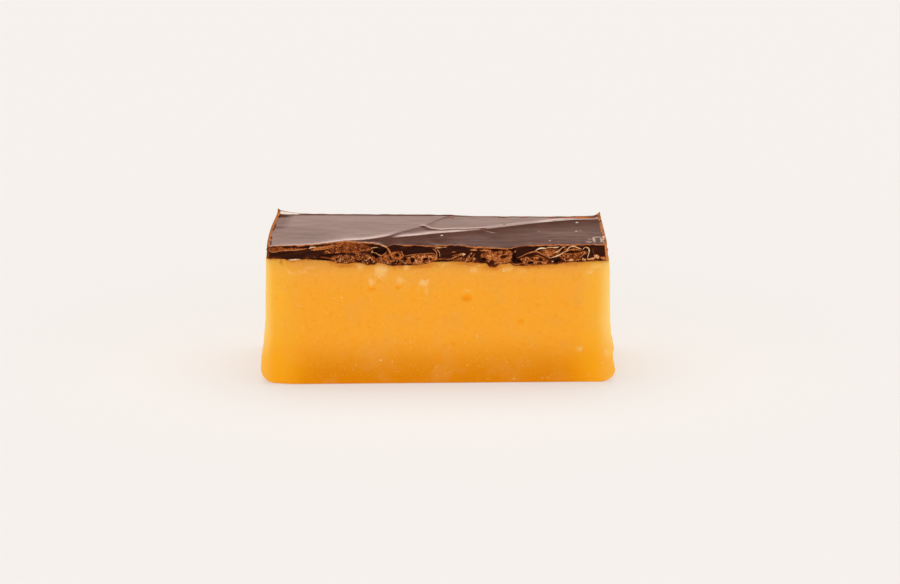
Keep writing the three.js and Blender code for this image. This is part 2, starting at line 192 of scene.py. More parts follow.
# %% Make the floor and the sky
FLOOR_SIZE = 8.0  # m
FLOOR_COLOUR = (0.848, 0.815, 0.777)
FLOOR_GLOW = {"share": 0.5, "colour": (0.908, 0.870, 0.829)}
WHITE = (1.0, 1.0, 1.0)
WARM = (1.0, 0.77, 0.69)
SKY_BACK = [  # (sine of the height above level, brightness, colour)
    (0.0, 1.7, WARM), (0.13, 1.5, WARM), (0.2, 1.05, WARM), (0.245, 1.0, WARM), (0.30, 0.4, WARM), (0.34, 0.07, WARM),
    (0.64, 0.07, WHITE), (0.76, 2.45, WHITE), (1.0, 2.45, WHITE),
]
SKY_FRONT = [(0.0, 1.7, WHITE), (0.35, 1.7, WHITE), (0.5, 0.3, WHITE), (0.88, 0.3, WHITE), (1.0, 1.7, WHITE)]
SKY_BRIGHTEST = 2.45
SKY_SEAM = (0.3, -0.5)  # the y of a direction where the front ramp begins, and where it is alone


def sky_stops(ramp):
    """The ramp's stops as shares of the brightest level, because a ramp's colours end at 1."""
    return [(place, [level / SKY_BRIGHTEST * part for part in tint]) for place, level, tint in ramp]


def make_sky():
    """Brightness = back ramp or front ramp of the direction's height, mixed by how far it points to the front."""
    sky = bpy.data.worlds.new("studio")
    sky.use_nodes = True
    sky.node_tree.nodes.clear()
    start = Wire(sky.node_tree)
    direction = start.node("TexCoord", output="Generated")
    parts = direction.node("SeparateXYZ", sockets={0: direction}).socket.node
    side, height = (Wire(sky.node_tree, parts.outputs[axis]) for axis in "YZ")
    back, front = (
        start.node("ValToRGB", {"stops": sky_stops(ramp)}, {0: height}) for ramp in (SKY_BACK, SKY_FRONT)
    )
    light = side.ease(*SKY_SEAM).mix(back, front)
    glow = start.node("Background", sockets={"Color": light, "Strength": SKY_BRIGHTEST})
    start.node("OutputWorld", sockets={"Surface": glow})
    return sky


def make_floor():
    """One square, half matt paint and half glow. It is staged, so it is no part of the sweet."""
    half = FLOOR_SIZE / 2
    corners = [(-half, -half, 0), (half, -half, 0), (half, half, 0), (-half, half, 0)]
    mesh = bpy.data.meshes.new("floor")
    mesh.from_pydata(corners, [], [(0, 1, 2, 3)])
    floor = bpy.data.objects.new("floor", mesh)
    material, start = new_material("pale_floor")
    paint = start.node("BsdfDiffuse", sockets={"Color": (*FLOOR_COLOUR, 1.0)})
    glow = start.node("Emission", sockets={"Color": (*FLOOR_GLOW["colour"], 1.0), "Strength": 1.0})
    finish_material(start, start.node("MixShader", sockets={0: FLOOR_GLOW["share"], 1: paint, 2: glow}))
    mesh.materials.append(material)
    bpy.context.collection.objects.link(floor)
    floor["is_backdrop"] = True


bpy.context.scene.world = make_sky()
make_floor()
print("floor", FLOOR_SIZE, "m wide; sky of", len(SKY_BACK) + len(SKY_FRONT), "stops")

# %% [markdown]
# ## Curves that shape a sweet
#
# Nothing on a soft sweet is straight or sharp. Four curves are enough for all of it: a bell for a bump, an
# s-curve to fade one thing into the next, a sum of waves for the gentle unevenness that the solids have too,
# and noise for what is rougher than that. Three helpers measure places: along a table of points, from the
# centre of a tilted ellipse, and from a path.

# %% Define the curves
LATTICE = 64  # squares of the noise along each side, after which it repeats


def bell(t, sharp=1.0):
    """A bump of height 1 at 0: e to the power of minus t squared. A higher sharp gives a flat top."""
    return np.exp(-(np.abs(t) ** (2 * sharp)))


def ease(t, start, end):
    """0 up to start, 1 from end, and 3 u squared less 2 u cubed between them."""
    u = np.clip((t - start) / (end - start), 0, 1)
    return u * u * (3 - 2 * u)


def within(t, begin=None, end=None):
    """1 over a stretch: it rises between begin's two numbers and falls between end's, where they are given."""
    rise = 1 if begin is None else ease(t, *begin)
    return rise if end is None else rise * (1 - ease(t, *end))


def wave(a, b, length):
    """The mean of three sine waves that cross each other."""
    k = 2 * np.pi / length
    first = np.sin(k * (a + 0.35 * b) + 0.7)
    second = np.sin(k * (0.61 * a - 0.83 * b) + 2.1)
    third = np.sin(k * (1.37 * a + 1.21 * b) + 4.4)
    return (first + second + third) / 3


def noise(a, b, size, seed):
    """From -1 to 1: random heights at the corners of a lattice of squares, joined by s-curves."""
    table = np.random.default_rng(seed).uniform(-1, 1, (LATTICE, LATTICE))
    a, b = np.broadcast_arrays(a / size, b / size)
    i, j = np.floor(a).astype(int), np.floor(b).astype(int)
    u, v = ease(a - i, 0, 1), ease(b - j, 0, 1)
    i, j, next_i, next_j = i % LATTICE, j % LATTICE, (i + 1) % LATTICE, (j + 1) % LATTICE
    near = table[i, j] * (1 - u) + table[next_i, j] * u
    far = table[i, next_j] * (1 - u) + table[next_i, next_j] * u
    return near * (1 - v) + far * v


def rough(a, b, size, seed, octaves=3):
    """Noise on noise: each octave is half as long and half as high as the one before it."""
    return sum(noise(a, b, size / 2**k, seed + k) / 2**k for k in range(octaves))


def smooth_line(points, x, blur=1.2):
    """The second number of a table of points at x: the broken line through them, averaged over 2 blur."""
    line = np.asarray(points, dtype=float)
    steps = np.linspace(-blur, blur, 7)
    return sum(np.interp(x + step, line[:, 0], line[:, 1]) for step in steps) / len(steps)


def tilted(x, z, px, pz, wide, tall, tilt):
    """Distance from the centre of a tilted ellipse, where its rim is at 1."""
    turn = math.radians(tilt)
    dx, dz = x - px, z - pz
    a = (dx * math.cos(turn) + dz * math.sin(turn)) / wide
    b = (dz * math.cos(turn) - dx * math.sin(turn)) / tall
    return np.hypot(a, b)


def distance_to(path, a, b):
    """Distance from the points (a, b) to the nearest of a path's straight pieces."""
    best = np.full(np.broadcast(a, b).shape, np.inf)
    for (a0, b0), (a1, b1) in zip(path, path[1:]):
        run = np.array([a1 - a0, b1 - b0])
        along = np.clip(((a - a0) * run[0] + (b - b0) * run[1]) / (run @ run), 0, 1)
        best = np.minimum(best, np.hypot(a - a0 - along * run[0], b - b0 - along * run[1]))
    return best


print("bell(0.5) =", round(float(bell(0.5)), 3), " ease(0.5) =", float(ease(0.5, 0, 1)))

# %% [markdown]
# ## The slab's plan
#
# The cuts are not quite square: the back cut runs at a slight angle, and both ends bow out and lean. These are
# the same lengths as in the solids. A point of a straight slab is found first and is then stretched to the real
# ends, so each surface below can be thought of as a straight one.

# %% Lay out the plan
LENGTH = 80.0
HALF = LENGTH / 2
HEIGHT = 33.4
DEPTH = {"left": 35.2, "right": 31.8}
HALF_DEPTH = DEPTH["left"] / 2  # of the straight slab
FRONT_SKEW = 0.65
LAYER_BASE = 30.2
LAYER_STEP = {"high": 0.42, "at": -27, "run": 5}
LAYER_WAVE = {"high": 0.08, "long": 23}
GAP = 0.1
FRAME_SHIFT = (-0.283, 0.232, 0.0)  # puts the middle of the slab's box over the frame's origin

ENDS = {
    "left": {
        "front": 39.8, "back": 39.4, "bow": 0.45, "lean": 0.1,
        "profile": [(0, -0.2), (0.5, 0.6), (0.9, 0.95), (1.9, 1.6), (3.2, 1.95), (6.1, 1.8), (9.1, 1.25), (16.4, 0.65),
                    (29.6, 0.3), (31, 0.2)],
    },
    "right": {
        "front": 39.95, "back": 40.0, "bow": 0.1, "lean": 0.35,
        "profile": [(0, 0.4), (0.9, 1.4), (1.6, 2.15), (2.8, 2.5), (3.8, 2.3), (5.4, 1.65), (8.4, 2.1), (10.6, 1.5),
                    (13.5, 1.25), (16.4, 1.08), (29.6, 0.78), (31, 0.55)],
    },
}


def front_y(x):
    """The front cut: a straight line, FRONT_SKEW further back at the right end than at the middle."""
    return -(DEPTH["left"] + DEPTH["right"]) / 4 + FRONT_SKEW * x / HALF


def back_y(x):
    """The back cut: the front one plus a depth that shrinks from left to right."""
    return front_y(x) + np.interp(x, (-HALF, HALF), (DEPTH["left"], DEPTH["right"]))


def inside_ends(x, fade):
    """1 over the slab, falling to 0 over its last millimetres."""
    return 1 - ease(np.abs(x), HALF - fade, HALF)


def layer_z(x, y):
    """The face between fudge and chocolate: level, with one soft step at the left and gentle waves."""
    step = LAYER_STEP["high"] * np.tanh((x - LAYER_STEP["at"]) / LAYER_STEP["run"])
    return LAYER_BASE - step + LAYER_WAVE["high"] * wave(x, y, LAYER_WAVE["long"])


def stretch(x, y, bowed, past_end):
    """Where x lands: it grows in proportion, so that the end at 40 mm reaches its own bowed line."""
    across = y / HALF_DEPTH
    reach = [
        np.interp(across, (-1, 1), (end["front"], end["back"])) + end["bow"] * bowed * (1 - across**2) + past_end(end)
        for end in (ENDS["left"], ENDS["right"])
    ]
    return x / HALF * np.where(x < 0, reach[0], reach[1])


def crowd(count, share):
    """count + 1 numbers from -1 to 1 that crowd towards both: even steps mixed with a sine."""
    t = np.linspace(-1, 1, count + 1)
    return (1 - share) * t + share * np.sin(t * np.pi / 2)


print("the front cut runs from y =", front_y(-HALF), "to", front_y(HALF))

# %% [markdown]
# ## Skins
#
# Both pieces are skins that run round the slab in rings. A ring is the border of a grid of columns along the
# slab and rows across it. Rings are stacked into walls, and they shrink to a small flat face where a piece is
# closed out of sight. The helpers below number the points of such rings and join them with four-sided faces.

# %% Define the skin helpers
def border(columns, rows):
    """The column and row number of each border point of a grid, anticlockwise as seen from above."""
    along = np.arange(columns)
    across = np.arange(rows)
    i = np.concatenate([along, np.full(rows, columns), columns - along, np.zeros(rows, int)])
    j = np.concatenate([np.zeros(columns, int), across, np.full(columns, rows), rows - across])
    return i, j


def ring_faces(ids):
    """Faces between rings of point numbers. Each row of ids is one closed ring, and the rows run upwards."""
    low, high = ids[:-1], ids[1:]
    return np.stack([low, np.roll(low, -1, 1), np.roll(high, -1, 1), high], axis=-1).reshape(-1, 4)


def grid_faces(ids):
    """Faces of a grid of point numbers, seen from above with columns along the first axis."""
    return np.stack([ids[:-1, :-1], ids[1:, :-1], ids[1:, 1:], ids[:-1, 1:]], axis=-1).reshape(-1, 4)


def make_piece(name, points, faces, marks):
    """A smooth-shaded mesh object from points in mm, with one float attribute for each of marks."""
    mesh = bpy.data.meshes.new(name)
    mesh.from_pydata(((points + np.array(FRAME_SHIFT)) * MM).tolist(), [], faces)
    for mark, values in marks.items():
        mesh.attributes.new(mark, "FLOAT", "POINT").data.foreach_set("value", np.ravel(values).astype(np.float32))
    mesh.polygons.foreach_set("use_smooth", np.ones(len(mesh.polygons), bool))
    mesh.validate()
    mesh.update()
    piece = bpy.data.objects.new(name, mesh)
    bpy.context.collection.objects.link(piece)
    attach(piece, "root")
    return piece


print("a 3 x 2 grid has", len(border(3, 2)[0]), "border points")

# %% [markdown]
# ## The fudge block
#
# The block is a box whose upright edges and foot are rounded. Its ends stand out where the soft fudge slumped,
# and the front foot creeps forward a little. The knife opened air bubbles, which are dents with steep sides.
# The wall is one formula of three things: the place along the border, the height, and how far the ring has
# shrunk.

# %% Define the fudge's form
EDGE = np.array([1.3, 0.8, 1.2])  # radii of the soft edges along x, y and z
FOOT = {"tall": 2.5, "hollow": 0.08, "spread": 1.2, "spread_tall": 6.0, "corner": 0.16}
FUDGE_WAVE = {"high": 0.13, "long": 19}
CUT_ROUGH = {"coarse": 0.05, "fine": 0.012, "ends": 0.06}
CUT_FACE = (0.9, 0.97)  # shares of the half depth between which a bubble's dent begins
PIT_SHARP = 1.6
PITS = [  # (x, z, half width, half height, depth)
    (7.0, 20.8, 1.1, 0.65, 0.75), (-15.4, 23.2, 0.8, 0.45, 0.45), (-9.1, 23.5, 0.6, 0.35, 0.4),
    (19.9, 15.1, 0.65, 0.5, 0.4), (25.0, 15.3, 0.55, 0.45, 0.12), (3.7, 9.7, 0.5, 0.4, 0.4),
    (-37.8, 21.0, 0.6, 0.35, 0.2), (26.3, 7.0, 0.5, 0.35, 0.12), (23.2, 22.2, 0.3, 0.25, 0.2),
]
BACK_PITS = [(-21.0, 18.0, 1.0, 0.65, 0.6), (13.0, 12.4, 0.7, 0.5, 0.45), (27.5, 22.6, 0.8, 0.5, 0.45)]


def soften(p):
    """Rounds a box: the part of a point outside an inner box is pulled onto an ellipsoid round that box."""
    low = np.array([-HALF, -HALF_DEPTH, 0]) + EDGE
    high = np.array([HALF - EDGE[0], HALF_DEPTH - EDGE[1], LAYER_BASE])
    inner = np.clip(p, low, high)
    past = (p - inner) / EDGE
    length = np.linalg.norm(past, axis=-1, keepdims=True)
    return inner + EDGE * past / np.maximum(length, 1e-9) * (length > 0)


def pit_depth(pits, x, z):
    """The sum of steep-sided bells, one for each opened bubble."""
    return sum(
        deep * bell(np.hypot((x - px) / wide, (z - pz) / tall), PIT_SHARP) for px, pz, wide, tall, deep in pits
    )


def freed(z):
    """0 on the floor, which holds the foot, and 1 from the foot's height."""
    return ease(z, 0, FOOT["tall"])


def bulge(x, z, hollow=0):
    """How far a cut swells: waves above the foot, a hollow at it, and nothing right under the chocolate."""
    waves = FUDGE_WAVE["high"] * wave(x, z, FUDGE_WAVE["long"]) * freed(z)
    return (waves - hollow * (1 - freed(z))) * (1 - (z / LAYER_BASE) ** 4)


def creep(along, z):
    """How far the front foot creeps out: more towards the left end, though not at its corner, and a bell in height."""
    spread = FOOT["spread"] * (1 - along) / 2 * ease(along, -1, -1 + FOOT["corner"])
    return spread * bell(z / FOOT["spread_tall"])


def fudge_form(x, y, z):
    """The block: a softened box, set between the slanting cuts, bulged by waves and stretched to its ends."""
    qx, qy, qz = np.moveaxis(soften(np.stack([x, y, z], axis=-1)), -1, 0)
    along, across = qx / HALF, qy / HALF_DEPTH
    loose = freed(qz)
    x = stretch(qx, qy, loose, lambda end: np.interp(qz, *np.transpose(end["profile"])))
    coarse = CUT_ROUGH["coarse"] * rough(qx, qz, 4.5, 31)
    fine = CUT_ROUGH["fine"] * rough(qx + 7 * qy, qz, 0.9, 37)
    half_depth = (back_y(qx) - front_y(qx)) / 2 + bulge(qx, qz, FOOT["hollow"] * (1 - along**2))
    y = (front_y(qx) + back_y(qx)) / 2 + across * (half_depth + loose * (coarse + fine))
    y = y - creep(along, qz) * np.maximum(0, -across)
    z = qz * (layer_z(qx, y) - GAP) / LAYER_BASE
    y = y + ease(-across, *CUT_FACE) * pit_depth(PITS, x, z) - ease(across, *CUT_FACE) * pit_depth(BACK_PITS, x, z)
    x = x + CUT_ROUGH["ends"] * loose * np.abs(along) ** 20 * rough(qy, qz, 3.0, 41)
    return np.stack([x, y, z], axis=-1)


print(len(PITS) + len(BACK_PITS), "opened bubbles")

# %% [markdown]
# The fudge also has marks that are colour and not form: pale smears where the knife pressed crumbs of sugar
# flat, brown stains right under the torn chocolate, which also hold a painted shade under its overhang, and a
# painted shade of deeper orange inside the opened bubbles. Smears and stains are soft blots with ragged edges,
# and a thin band of brown staining and painted shade follows the chocolate's whole ragged lower edge. All marks
# are kept as attributes of the mesh, which the material reads.

# %% Define the fudge's marks
BLOT_SHARP = 1.3
BLOT_RAGGED = {"high": 0.35, "size": 0.9}
# a band of staining and painted shade that fades down from the chocolate's lower edge
STAIN_AND_SHADE_LINE = {"above": 0.05, "tall": (0.32, 0.18), "strength": (0.75, 0.25)}  # pairs: a mean, and its spread
PALE_BLOTS = [  # (x, z, half width, half height, tilt in degrees, strength)
    (-18.1, 28.5, 0.9, 0.9, 20, 0.45), (-13.1, 27.5, 1.4, 1.5, -20, 0.8), (-8.7, 25.3, 0.9, 0.9, -30, 0.55),
    (-7.0, 28.4, 0.8, 0.5, -20, 0.5), (-3.0, 24.6, 1.1, 0.8, 10, 0.8), (-2.4, 23.0, 0.35, 1.2, 15, 0.5),
    (-15.5, 24.8, 0.25, 1.1, 20, 0.6), (-14.9, 24.8, 0.25, 1.1, -20, 0.6), (-34.5, 27.5, 0.25, 1.3, 60, 0.45),
    (-31.8, 27.4, 0.2, 1.2, 70, 0.4), (7.1, 22.7, 0.9, 0.35, 0, 0.45), (17.0, 27.8, 0.9, 0.5, 10, 0.5),
    (36.2, 27.3, 1.0, 0.5, 15, 0.5), (40.4, 7.2, 0.9, 0.9, 0, 0.5),
    (8.8, 27.6, 0.8, 0.5, -15, 0.5), (37.4, 28.4, 1.3, 0.6, 15, 0.4), (33.9, 8.3, 0.8, 0.4, 10, 0.5),
    (-29.8, 28.2, 1.6, 0.5, 10, 0.3), (16.9, 28.0, 1.4, 0.5, 0, 0.35), (1.6, 29.0, 1.2, 0.4, 5, 0.4),
    (20.2, 27.3, 0.9, 0.5, -10, 0.25),
]
# brown stains under the torn chocolate, which also hold its painted shade
STAIN_AND_SHADE_BLOTS = [  # the same six numbers
    (-36.5, 30.0, 0.5, 0.8, 0, 1.0), (-24.6, 30.1, 0.9, 0.9, 30, 0.8), (-21.5, 29.0, 2.8, 0.5, 0, 0.8),
    (-22.4, 28.7, 0.6, 0.4, 20, 0.9), (-33.9, 30.0, 1.6, 0.25, 0, 0.8),
    (-15.6, 29.4, 1.8, 0.8, -10, 0.7), (-12.3, 29.2, 1.6, 1.2, 0, 0.55), (-8.6, 28.6, 2.4, 0.6, 0, 0.7),
    (-3.4, 28.6, 3.4, 0.55, 5, 0.7), (2.0, 29.8, 1.6, 0.5, 0, 0.6), (7.4, 29.2, 3.0, 0.6, 0, 0.7),
    (13.2, 28.3, 2.6, 0.7, 0, 0.6), (22.4, 28.6, 4.6, 0.6, 0, 0.7), (32.0, 29.3, 4.0, 0.6, 5, 0.6),
    (39.4, 29.8, 1.4, 0.5, 0, 0.6), (-29.8, 30.2, 3.0, 0.4, 0, 0.4),
]
LOWER_EDGE = [  # (x, z) of the chocolate's ragged lower edge
    (-40, 30.7), (-36.2, 30.6), (-35.1, 30.2), (-31.4, 30.45), (-29.9, 30.75), (-27.0, 30.8), (-25.2, 30.5),
    (-23.6, 29.5), (-21.0, 29.4), (-19.4, 29.6), (-18.2, 29.6), (-16.4, 29.2), (-14.8, 29.0), (-13.9, 29.8),
    (-12.6, 29.3), (-11.3, 28.9), (-8.1, 28.9), (-4.5, 28.9), (-2.4, 29.2), (-0.8, 29.8), (0.8, 30.3), (3.6, 30.0),
    (6.5, 29.6), (11.6, 29.4), (12.2, 28.4), (13.8, 28.3), (14.5, 29.2), (17.4, 29.2), (18.0, 28.8), (22.5, 28.7),
    (26.4, 29.0), (28.0, 29.1), (31.0, 29.5), (35.6, 29.7), (37.6, 30.0), (40, 29.9),
]


def lower_z(x):
    """The chocolate's lower edge in front: the table's line, made ragged by noise except at the ends."""
    ragged = 0.10 * rough(x, 0, 0.9, 81) * inside_ends(x, 1.5)
    return smooth_line(LOWER_EDGE, x, 0.25) + ragged


def under_edge(x, z):
    """Staining and painted shade below the chocolate's edge, fading downwards. Noise varies its height and strength.
    """
    tall = STAIN_AND_SHADE_LINE["tall"][0] + STAIN_AND_SHADE_LINE["tall"][1] * noise(x, 0, 1.3, 63)
    strength = STAIN_AND_SHADE_LINE["strength"][0] + STAIN_AND_SHADE_LINE["strength"][1] * noise(x, 0, 0.7, 64)
    return strength * np.exp(-np.maximum(lower_z(x) - STAIN_AND_SHADE_LINE["above"] - z, 0) / tall)


def blots(table, x, z, seed):
    """Soft ellipses with ragged edges: each point is first moved by noise, then measured to every ellipse."""
    moved_x = x + BLOT_RAGGED["high"] * rough(x, z, BLOT_RAGGED["size"], seed)
    moved_z = z + BLOT_RAGGED["high"] * rough(moved_x, z, BLOT_RAGGED["size"], seed + 10)
    best = np.zeros_like(x)
    for *ellipse, strength in table:
        best = np.maximum(best, strength * bell(tilted(moved_x, moved_z, *ellipse), BLOT_SHARP))
    return best


print(len(PALE_BLOTS), "pale smears and", len(STAIN_AND_SHADE_BLOTS), "stains")

# %% [markdown]
# The rings of the block come in three sets: shrinking ones under the foot, one for each level of the wall, and
# shrinking ones on the top, which the chocolate hides. Levels and columns crowd where the form turns most.

# %% Build the fudge block
FUDGE_COLUMNS = 300
FUDGE_DEPTH_ROWS = 54
FUDGE_LEVELS = 104
FUDGE_CROWD = {"columns": 0.25, "rows": 0.5, "levels": 1.15}
FOOT_SHRINKS = (16.5, 11.0, 6.0, 3.0, 1.9, 1.3, 0.95, 0.6, 0.3)
TOP_SHRINKS = (0.6, 3.0, 9.0, 16.5)
MARKED_FROM = (14.0, 15.5)  # mm in front of the slab's middle between which the front's marks begin
# the depths over which the painted shade inside a bubble begins
PIT_MARK = (0.06, 0.2)  # mm of depth between which a bubble's colour begins


def build_fudge():
    """Each ring is the straight block's border, shrunk by so many millimetres, at its height, and then formed."""
    i, j = border(FUDGE_COLUMNS, FUDGE_DEPTH_ROWS)
    x = HALF * crowd(FUDGE_COLUMNS, FUDGE_CROWD["columns"])[i]
    y = HALF_DEPTH * crowd(FUDGE_DEPTH_ROWS, FUDGE_CROWD["rows"])[j]
    levels = LAYER_BASE * np.linspace(0, 1, FUDGE_LEVELS + 1) ** FUDGE_CROWD["levels"]
    shrink = np.concatenate([FOOT_SHRINKS, np.zeros(len(levels)), TOP_SHRINKS])[:, None]
    height = np.concatenate([np.zeros(len(FOOT_SHRINKS)), levels, np.full(len(TOP_SHRINKS), LAYER_BASE)])[:, None]
    points = fudge_form(x * (1 - shrink / HALF), y * (1 - shrink / HALF_DEPTH), height + 0 * x)
    ids = np.arange(points.shape[0] * points.shape[1]).reshape(points.shape[:2])
    faces = ring_faces(ids).tolist() + [ids[0, ::-1].tolist(), ids[-1].tolist()]
    x, y, z = points.reshape(-1, 3).T
    front = ease(-y, *MARKED_FROM)
    marks = {
        "pale": front * blots(PALE_BLOTS, x, z, 51),
        # painted shade inside the opened bubbles
        "pit": front * ease(pit_depth(PITS, x, z), *PIT_MARK),
        # brown stains and painted shade under the torn chocolate
        "stain": front * np.maximum(blots(STAIN_AND_SHADE_BLOTS, x, z, 61), under_edge(x, z)),
    }
    return make_piece("fudge", points.reshape(-1, 3), faces, marks)


fudge = build_fudge()
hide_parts("fudge_block")
print("fudge:", len(fudge.data.polygons), "faces")

# %% [markdown]
# ## The poured top
#
# The chocolate was poured in two sheets. The first lies at the left and falls away in front of its edge. The
# second came from the front right, ran over the first and stopped with a swollen edge, and a few soft wrinkles
# run between them. The knife left a thin rim along both ends, which curls up at the back corners. The height of
# the top is the sum of all these.
#
# A glossy skin shows a tilt of one degree in what it mirrors, long before it shows it as a height. So a second
# sum, the lean, holds the tilts that the photo shows beyond the heights. It moves no point: the material bends
# the skin's normal by it.

# %% Define the top
OVERHANG = 0.35  # how far the torn chocolate stands in front of the fudge
CUT_WAVE = 0.2  # how far the back and end cuts of the chocolate swell
LIP = [  # (x, back, lift): the front edge steps back and lifts where a flake broke away
    (-40, 0, 0.1), (-36.6, 0, 0.24), (-31.5, 0.1, 0.33), (-27.4, 1.0, 0.38), (-21.3, 2.8, 0.75), (-19, 2.5, 0.7),
    (-14, 1.4, 0.58), (-11.8, 0.1, 0.15), (-10.1, 0.7, 0.5), (-8.1, 0.2, 0.28), (-6.6, 0.3, 0.3), (-1.6, 0, 0.08),
    (2, 0.4, 0.15), (5.5, 0.1, 0.22), (8.4, 0, -0.15), (14.3, -0.1, -0.45), (17.2, -0.1, -0.62), (18.4, 0, -0.3),
    (20.1, 0, 0), (23.1, 0, 0.18), (28.9, 0, 0.3), (40, 0, 0.34),
]
LIP_FADE = {"torn": 2.6, "calm": 9, "from": 17, "to": 22}
FIRST_SHEET = {
    "edge": [(-40, -19), (-28.6, -16), (-21.4, -13.0), (-16.1, -10.4), (-11.7, -6.8), (-8, -0.8), (-3.3, 4.7),
             (-1.7, 8.4), (0.8, 12.5), (2.8, 16), (6, 22), (12, 34)],
    "drop": 0.32, "run": 7, "crest": 0.08, "crest_wide": 1.1, "crest_end": (-16, -9),
}
SECOND_SHEET = {
    "edge": [(-12.5, -8.6), (-5.5, -6.7), (0.1, -3.8), (5.8, -2.2), (10.8, 0), (17, 3.3), (23.3, 6.6), (28.9, 9.1),
             (33.3, 10.7), (41, 11.4)],
    "begin": (-13, -7), "climb": 4.5, "run": 2.2, "crest": 0.16, "crest_wide": 1.5,
}
SHEET_SLANT = 0.85  # a sheet's edge runs aslant, so it is nearer than a measure along y says
WRINKLES = [  # (path seen from above, height, half width)
    ([(-3.3, 4.7), (-1.8, 2.3), (0.8, 1.3), (4.5, 2.6), (10.5, 2.6)], 0.10, 0.8),
    ([(-2.2, -8.2), (-1.2, -11.0), (0.1, -14.2)], -0.05, 1.1),
    ([(11.2, 0.6), (13.3, -1.9)], -0.07, 0.6),
]
RIM = {"wide": 0.38, "high": 0.32}
BACK_RIM = {"wide": 0.7, "high": 0.09, "lower_at": (2, 8), "lower_by": 0.6}
CURLS = [  # (side, height, half length along x, along y)
    (-1, 0.45, 2.2, 2.0), (-1, 0.5, 5.2, 0.45), (1, 0.6, 1.1, 2.6), (1, 0.3, 7.0, 0.7),
]
LEAN = {  # (mm, or mm for each mm; x where it begins; x where it ends)
    "ahead": (-0.046, (-14, -9), None),  # in front of the second sheet
    "ahead_left": (-0.020, (-14, -9), (-4, 9)),
    "step": (-0.03, (-14, -9), None),  # right in front of its edge
    "crest": (-0.65, (1, 9), (22, 28)),
    "fold": (0.18, (-3, 1), None),  # between the sheets
    "first_ahead": (-0.07, (-25, -18), (-13, -8)),  # in front of the first sheet
    "first_crest": (0.13, (-30, -23), (-13, -8)),
    "left": (-0.008, None, (-30, -22)),
    "left_rim": (0.022, None, (-38.5, -35.5)),
}
LIP_LEAN = {"raised": 0.7, "sunken": 1.0, "bite": 0.4, "bite_at": ((-25, -20), (-14, -11))}


def lip_y(x):
    """The lip in plan: the front cut, plus the table's step back, plus waves and noise."""
    places, back, _ = np.transpose(LIP)
    ragged = 0.12 * wave(x, 0, 3.1) + 0.10 * rough(x, 0, 0.8, 71) * inside_ends(x, 2)
    return front_y(x) + np.interp(x, places, back) + ragged


def lip_lift(x):
    """How far the lip stands over the poured top: the table's lift, plus waves and noise."""
    places, _, lift = np.transpose(LIP)
    return np.interp(x, places, lift) + 0.07 * wave(x, 5, 2.3) + 0.04 * rough(x, 0, 0.6, 72)


def before_edge(sheet, x, y):
    """How far in front of a sheet's edge a place is, along y."""
    return smooth_line(sheet["edge"], x) - y


def pour_z(x, y):
    """The first sheet falls away in front of its edge. The second runs over it and has a swollen edge."""
    first = SHEET_SLANT * before_edge(FIRST_SHEET, x, y)
    second = SHEET_SLANT * before_edge(SECOND_SHEET, x, y)
    begun = ease(x, *SECOND_SHEET["begin"])
    over = begun * ease(second, -SECOND_SHEET["climb"], 0)
    fallen = 1 - np.exp(-np.maximum(first, 0) / FIRST_SHEET["run"])
    swell = bell(first / FIRST_SHEET["crest_wide"]) * within(x, end=FIRST_SHEET["crest_end"])
    slope = np.exp(-np.maximum(second, 0) / SECOND_SHEET["run"])
    front = np.where(second > 0, slope, bell(second / SECOND_SHEET["crest_wide"]))
    crests = FIRST_SHEET["crest"] * swell + SECOND_SHEET["crest"] * begun * front
    wrinkles = sum(high * bell(distance_to(path, x, y) / wide) for path, high, wide in WRINKLES)
    return crests - FIRST_SHEET["drop"] * fallen * (1 - over) + wrinkles


def rim_z(x, y):
    """A narrow raised rim along both ends and the back, and curls at the back corners."""
    rims = sum(RIM["high"] * bell((x - side * HALF) / RIM["wide"]) for side in (-1, 1))
    back_high = BACK_RIM["high"] * (1 - BACK_RIM["lower_by"] * ease(x, *BACK_RIM["lower_at"]))
    rims = rims + back_high * bell((y - back_y(x)) / BACK_RIM["wide"])
    curls = sum(
        high * bell((x - side * HALF) / wide) * bell((y - back_y(x)) / deep) for side, high, wide, deep in CURLS
    )
    return rims + curls


def lip_swell(x, y):
    """The lip's lift, which dies away behind it: soon behind the torn stretch, slowly behind the calm one."""
    calm = ease(x, LIP_FADE["from"], LIP_FADE["to"])
    fade = LIP_FADE["torn"] + (LIP_FADE["calm"] - LIP_FADE["torn"]) * calm
    return lip_lift(x) * np.exp(-np.maximum(y - lip_y(x), 0) / fade)


def top_z(x, y):
    """The sum of the level top, the pour, the rims, the lip and a gentle unevenness."""
    gentle = 0.02 * rough(x, y, 9.0, 75) + 0.005 * noise(x / 3, y, 1.4, 77)
    return HEIGHT + pour_z(x, y) + rim_z(x, y) + lip_swell(x, y) + gentle


def lean_z(x, y):
    """How the poured skin leans beyond what its height shows, as a height that the material turns into a tilt.

    It is the sum of LEAN's parts, each within its own stretch, less most of the swelling beside the torn lip.
    """
    first, second = before_edge(FIRST_SHEET, x, y), before_edge(SECOND_SHEET, x, y)
    ahead = np.maximum(second, 0)
    crest = SECOND_SHEET["crest"] * bell(np.minimum(second, 0) / SECOND_SHEET["crest_wide"])
    forms = {
        "ahead": ahead, "ahead_left": ahead, "step": 1 - np.exp(-ahead / 1.2),
        "crest": crest + 0.38 * ease(second, -SECOND_SHEET["climb"], 0),
        "fold": 1 - np.exp(-np.maximum(first - 1, 0) / FIRST_SHEET["run"]),
        "first_ahead": np.maximum(first, 0), "first_crest": bell((first + 0.6) / 2.0),
        "left": np.maximum(4 - y, 0), "left_rim": np.maximum(y - 1, 0),
    }
    lean = sum(high * forms[part] * within(x, begin, end) for part, (high, begin, end) in LEAN.items())
    steady = np.where(lip_lift(x) < 0, LIP_LEAN["sunken"], LIP_LEAN["raised"])
    steady = steady - LIP_LEAN["bite"] * within(x, *LIP_LEAN["bite_at"])
    return lean - steady * lip_swell(x, y)


print("the top lies between", np.round([top_z(x, 0.0) for x in (-20.0, 20.0)], 2), "mm at y = 0")
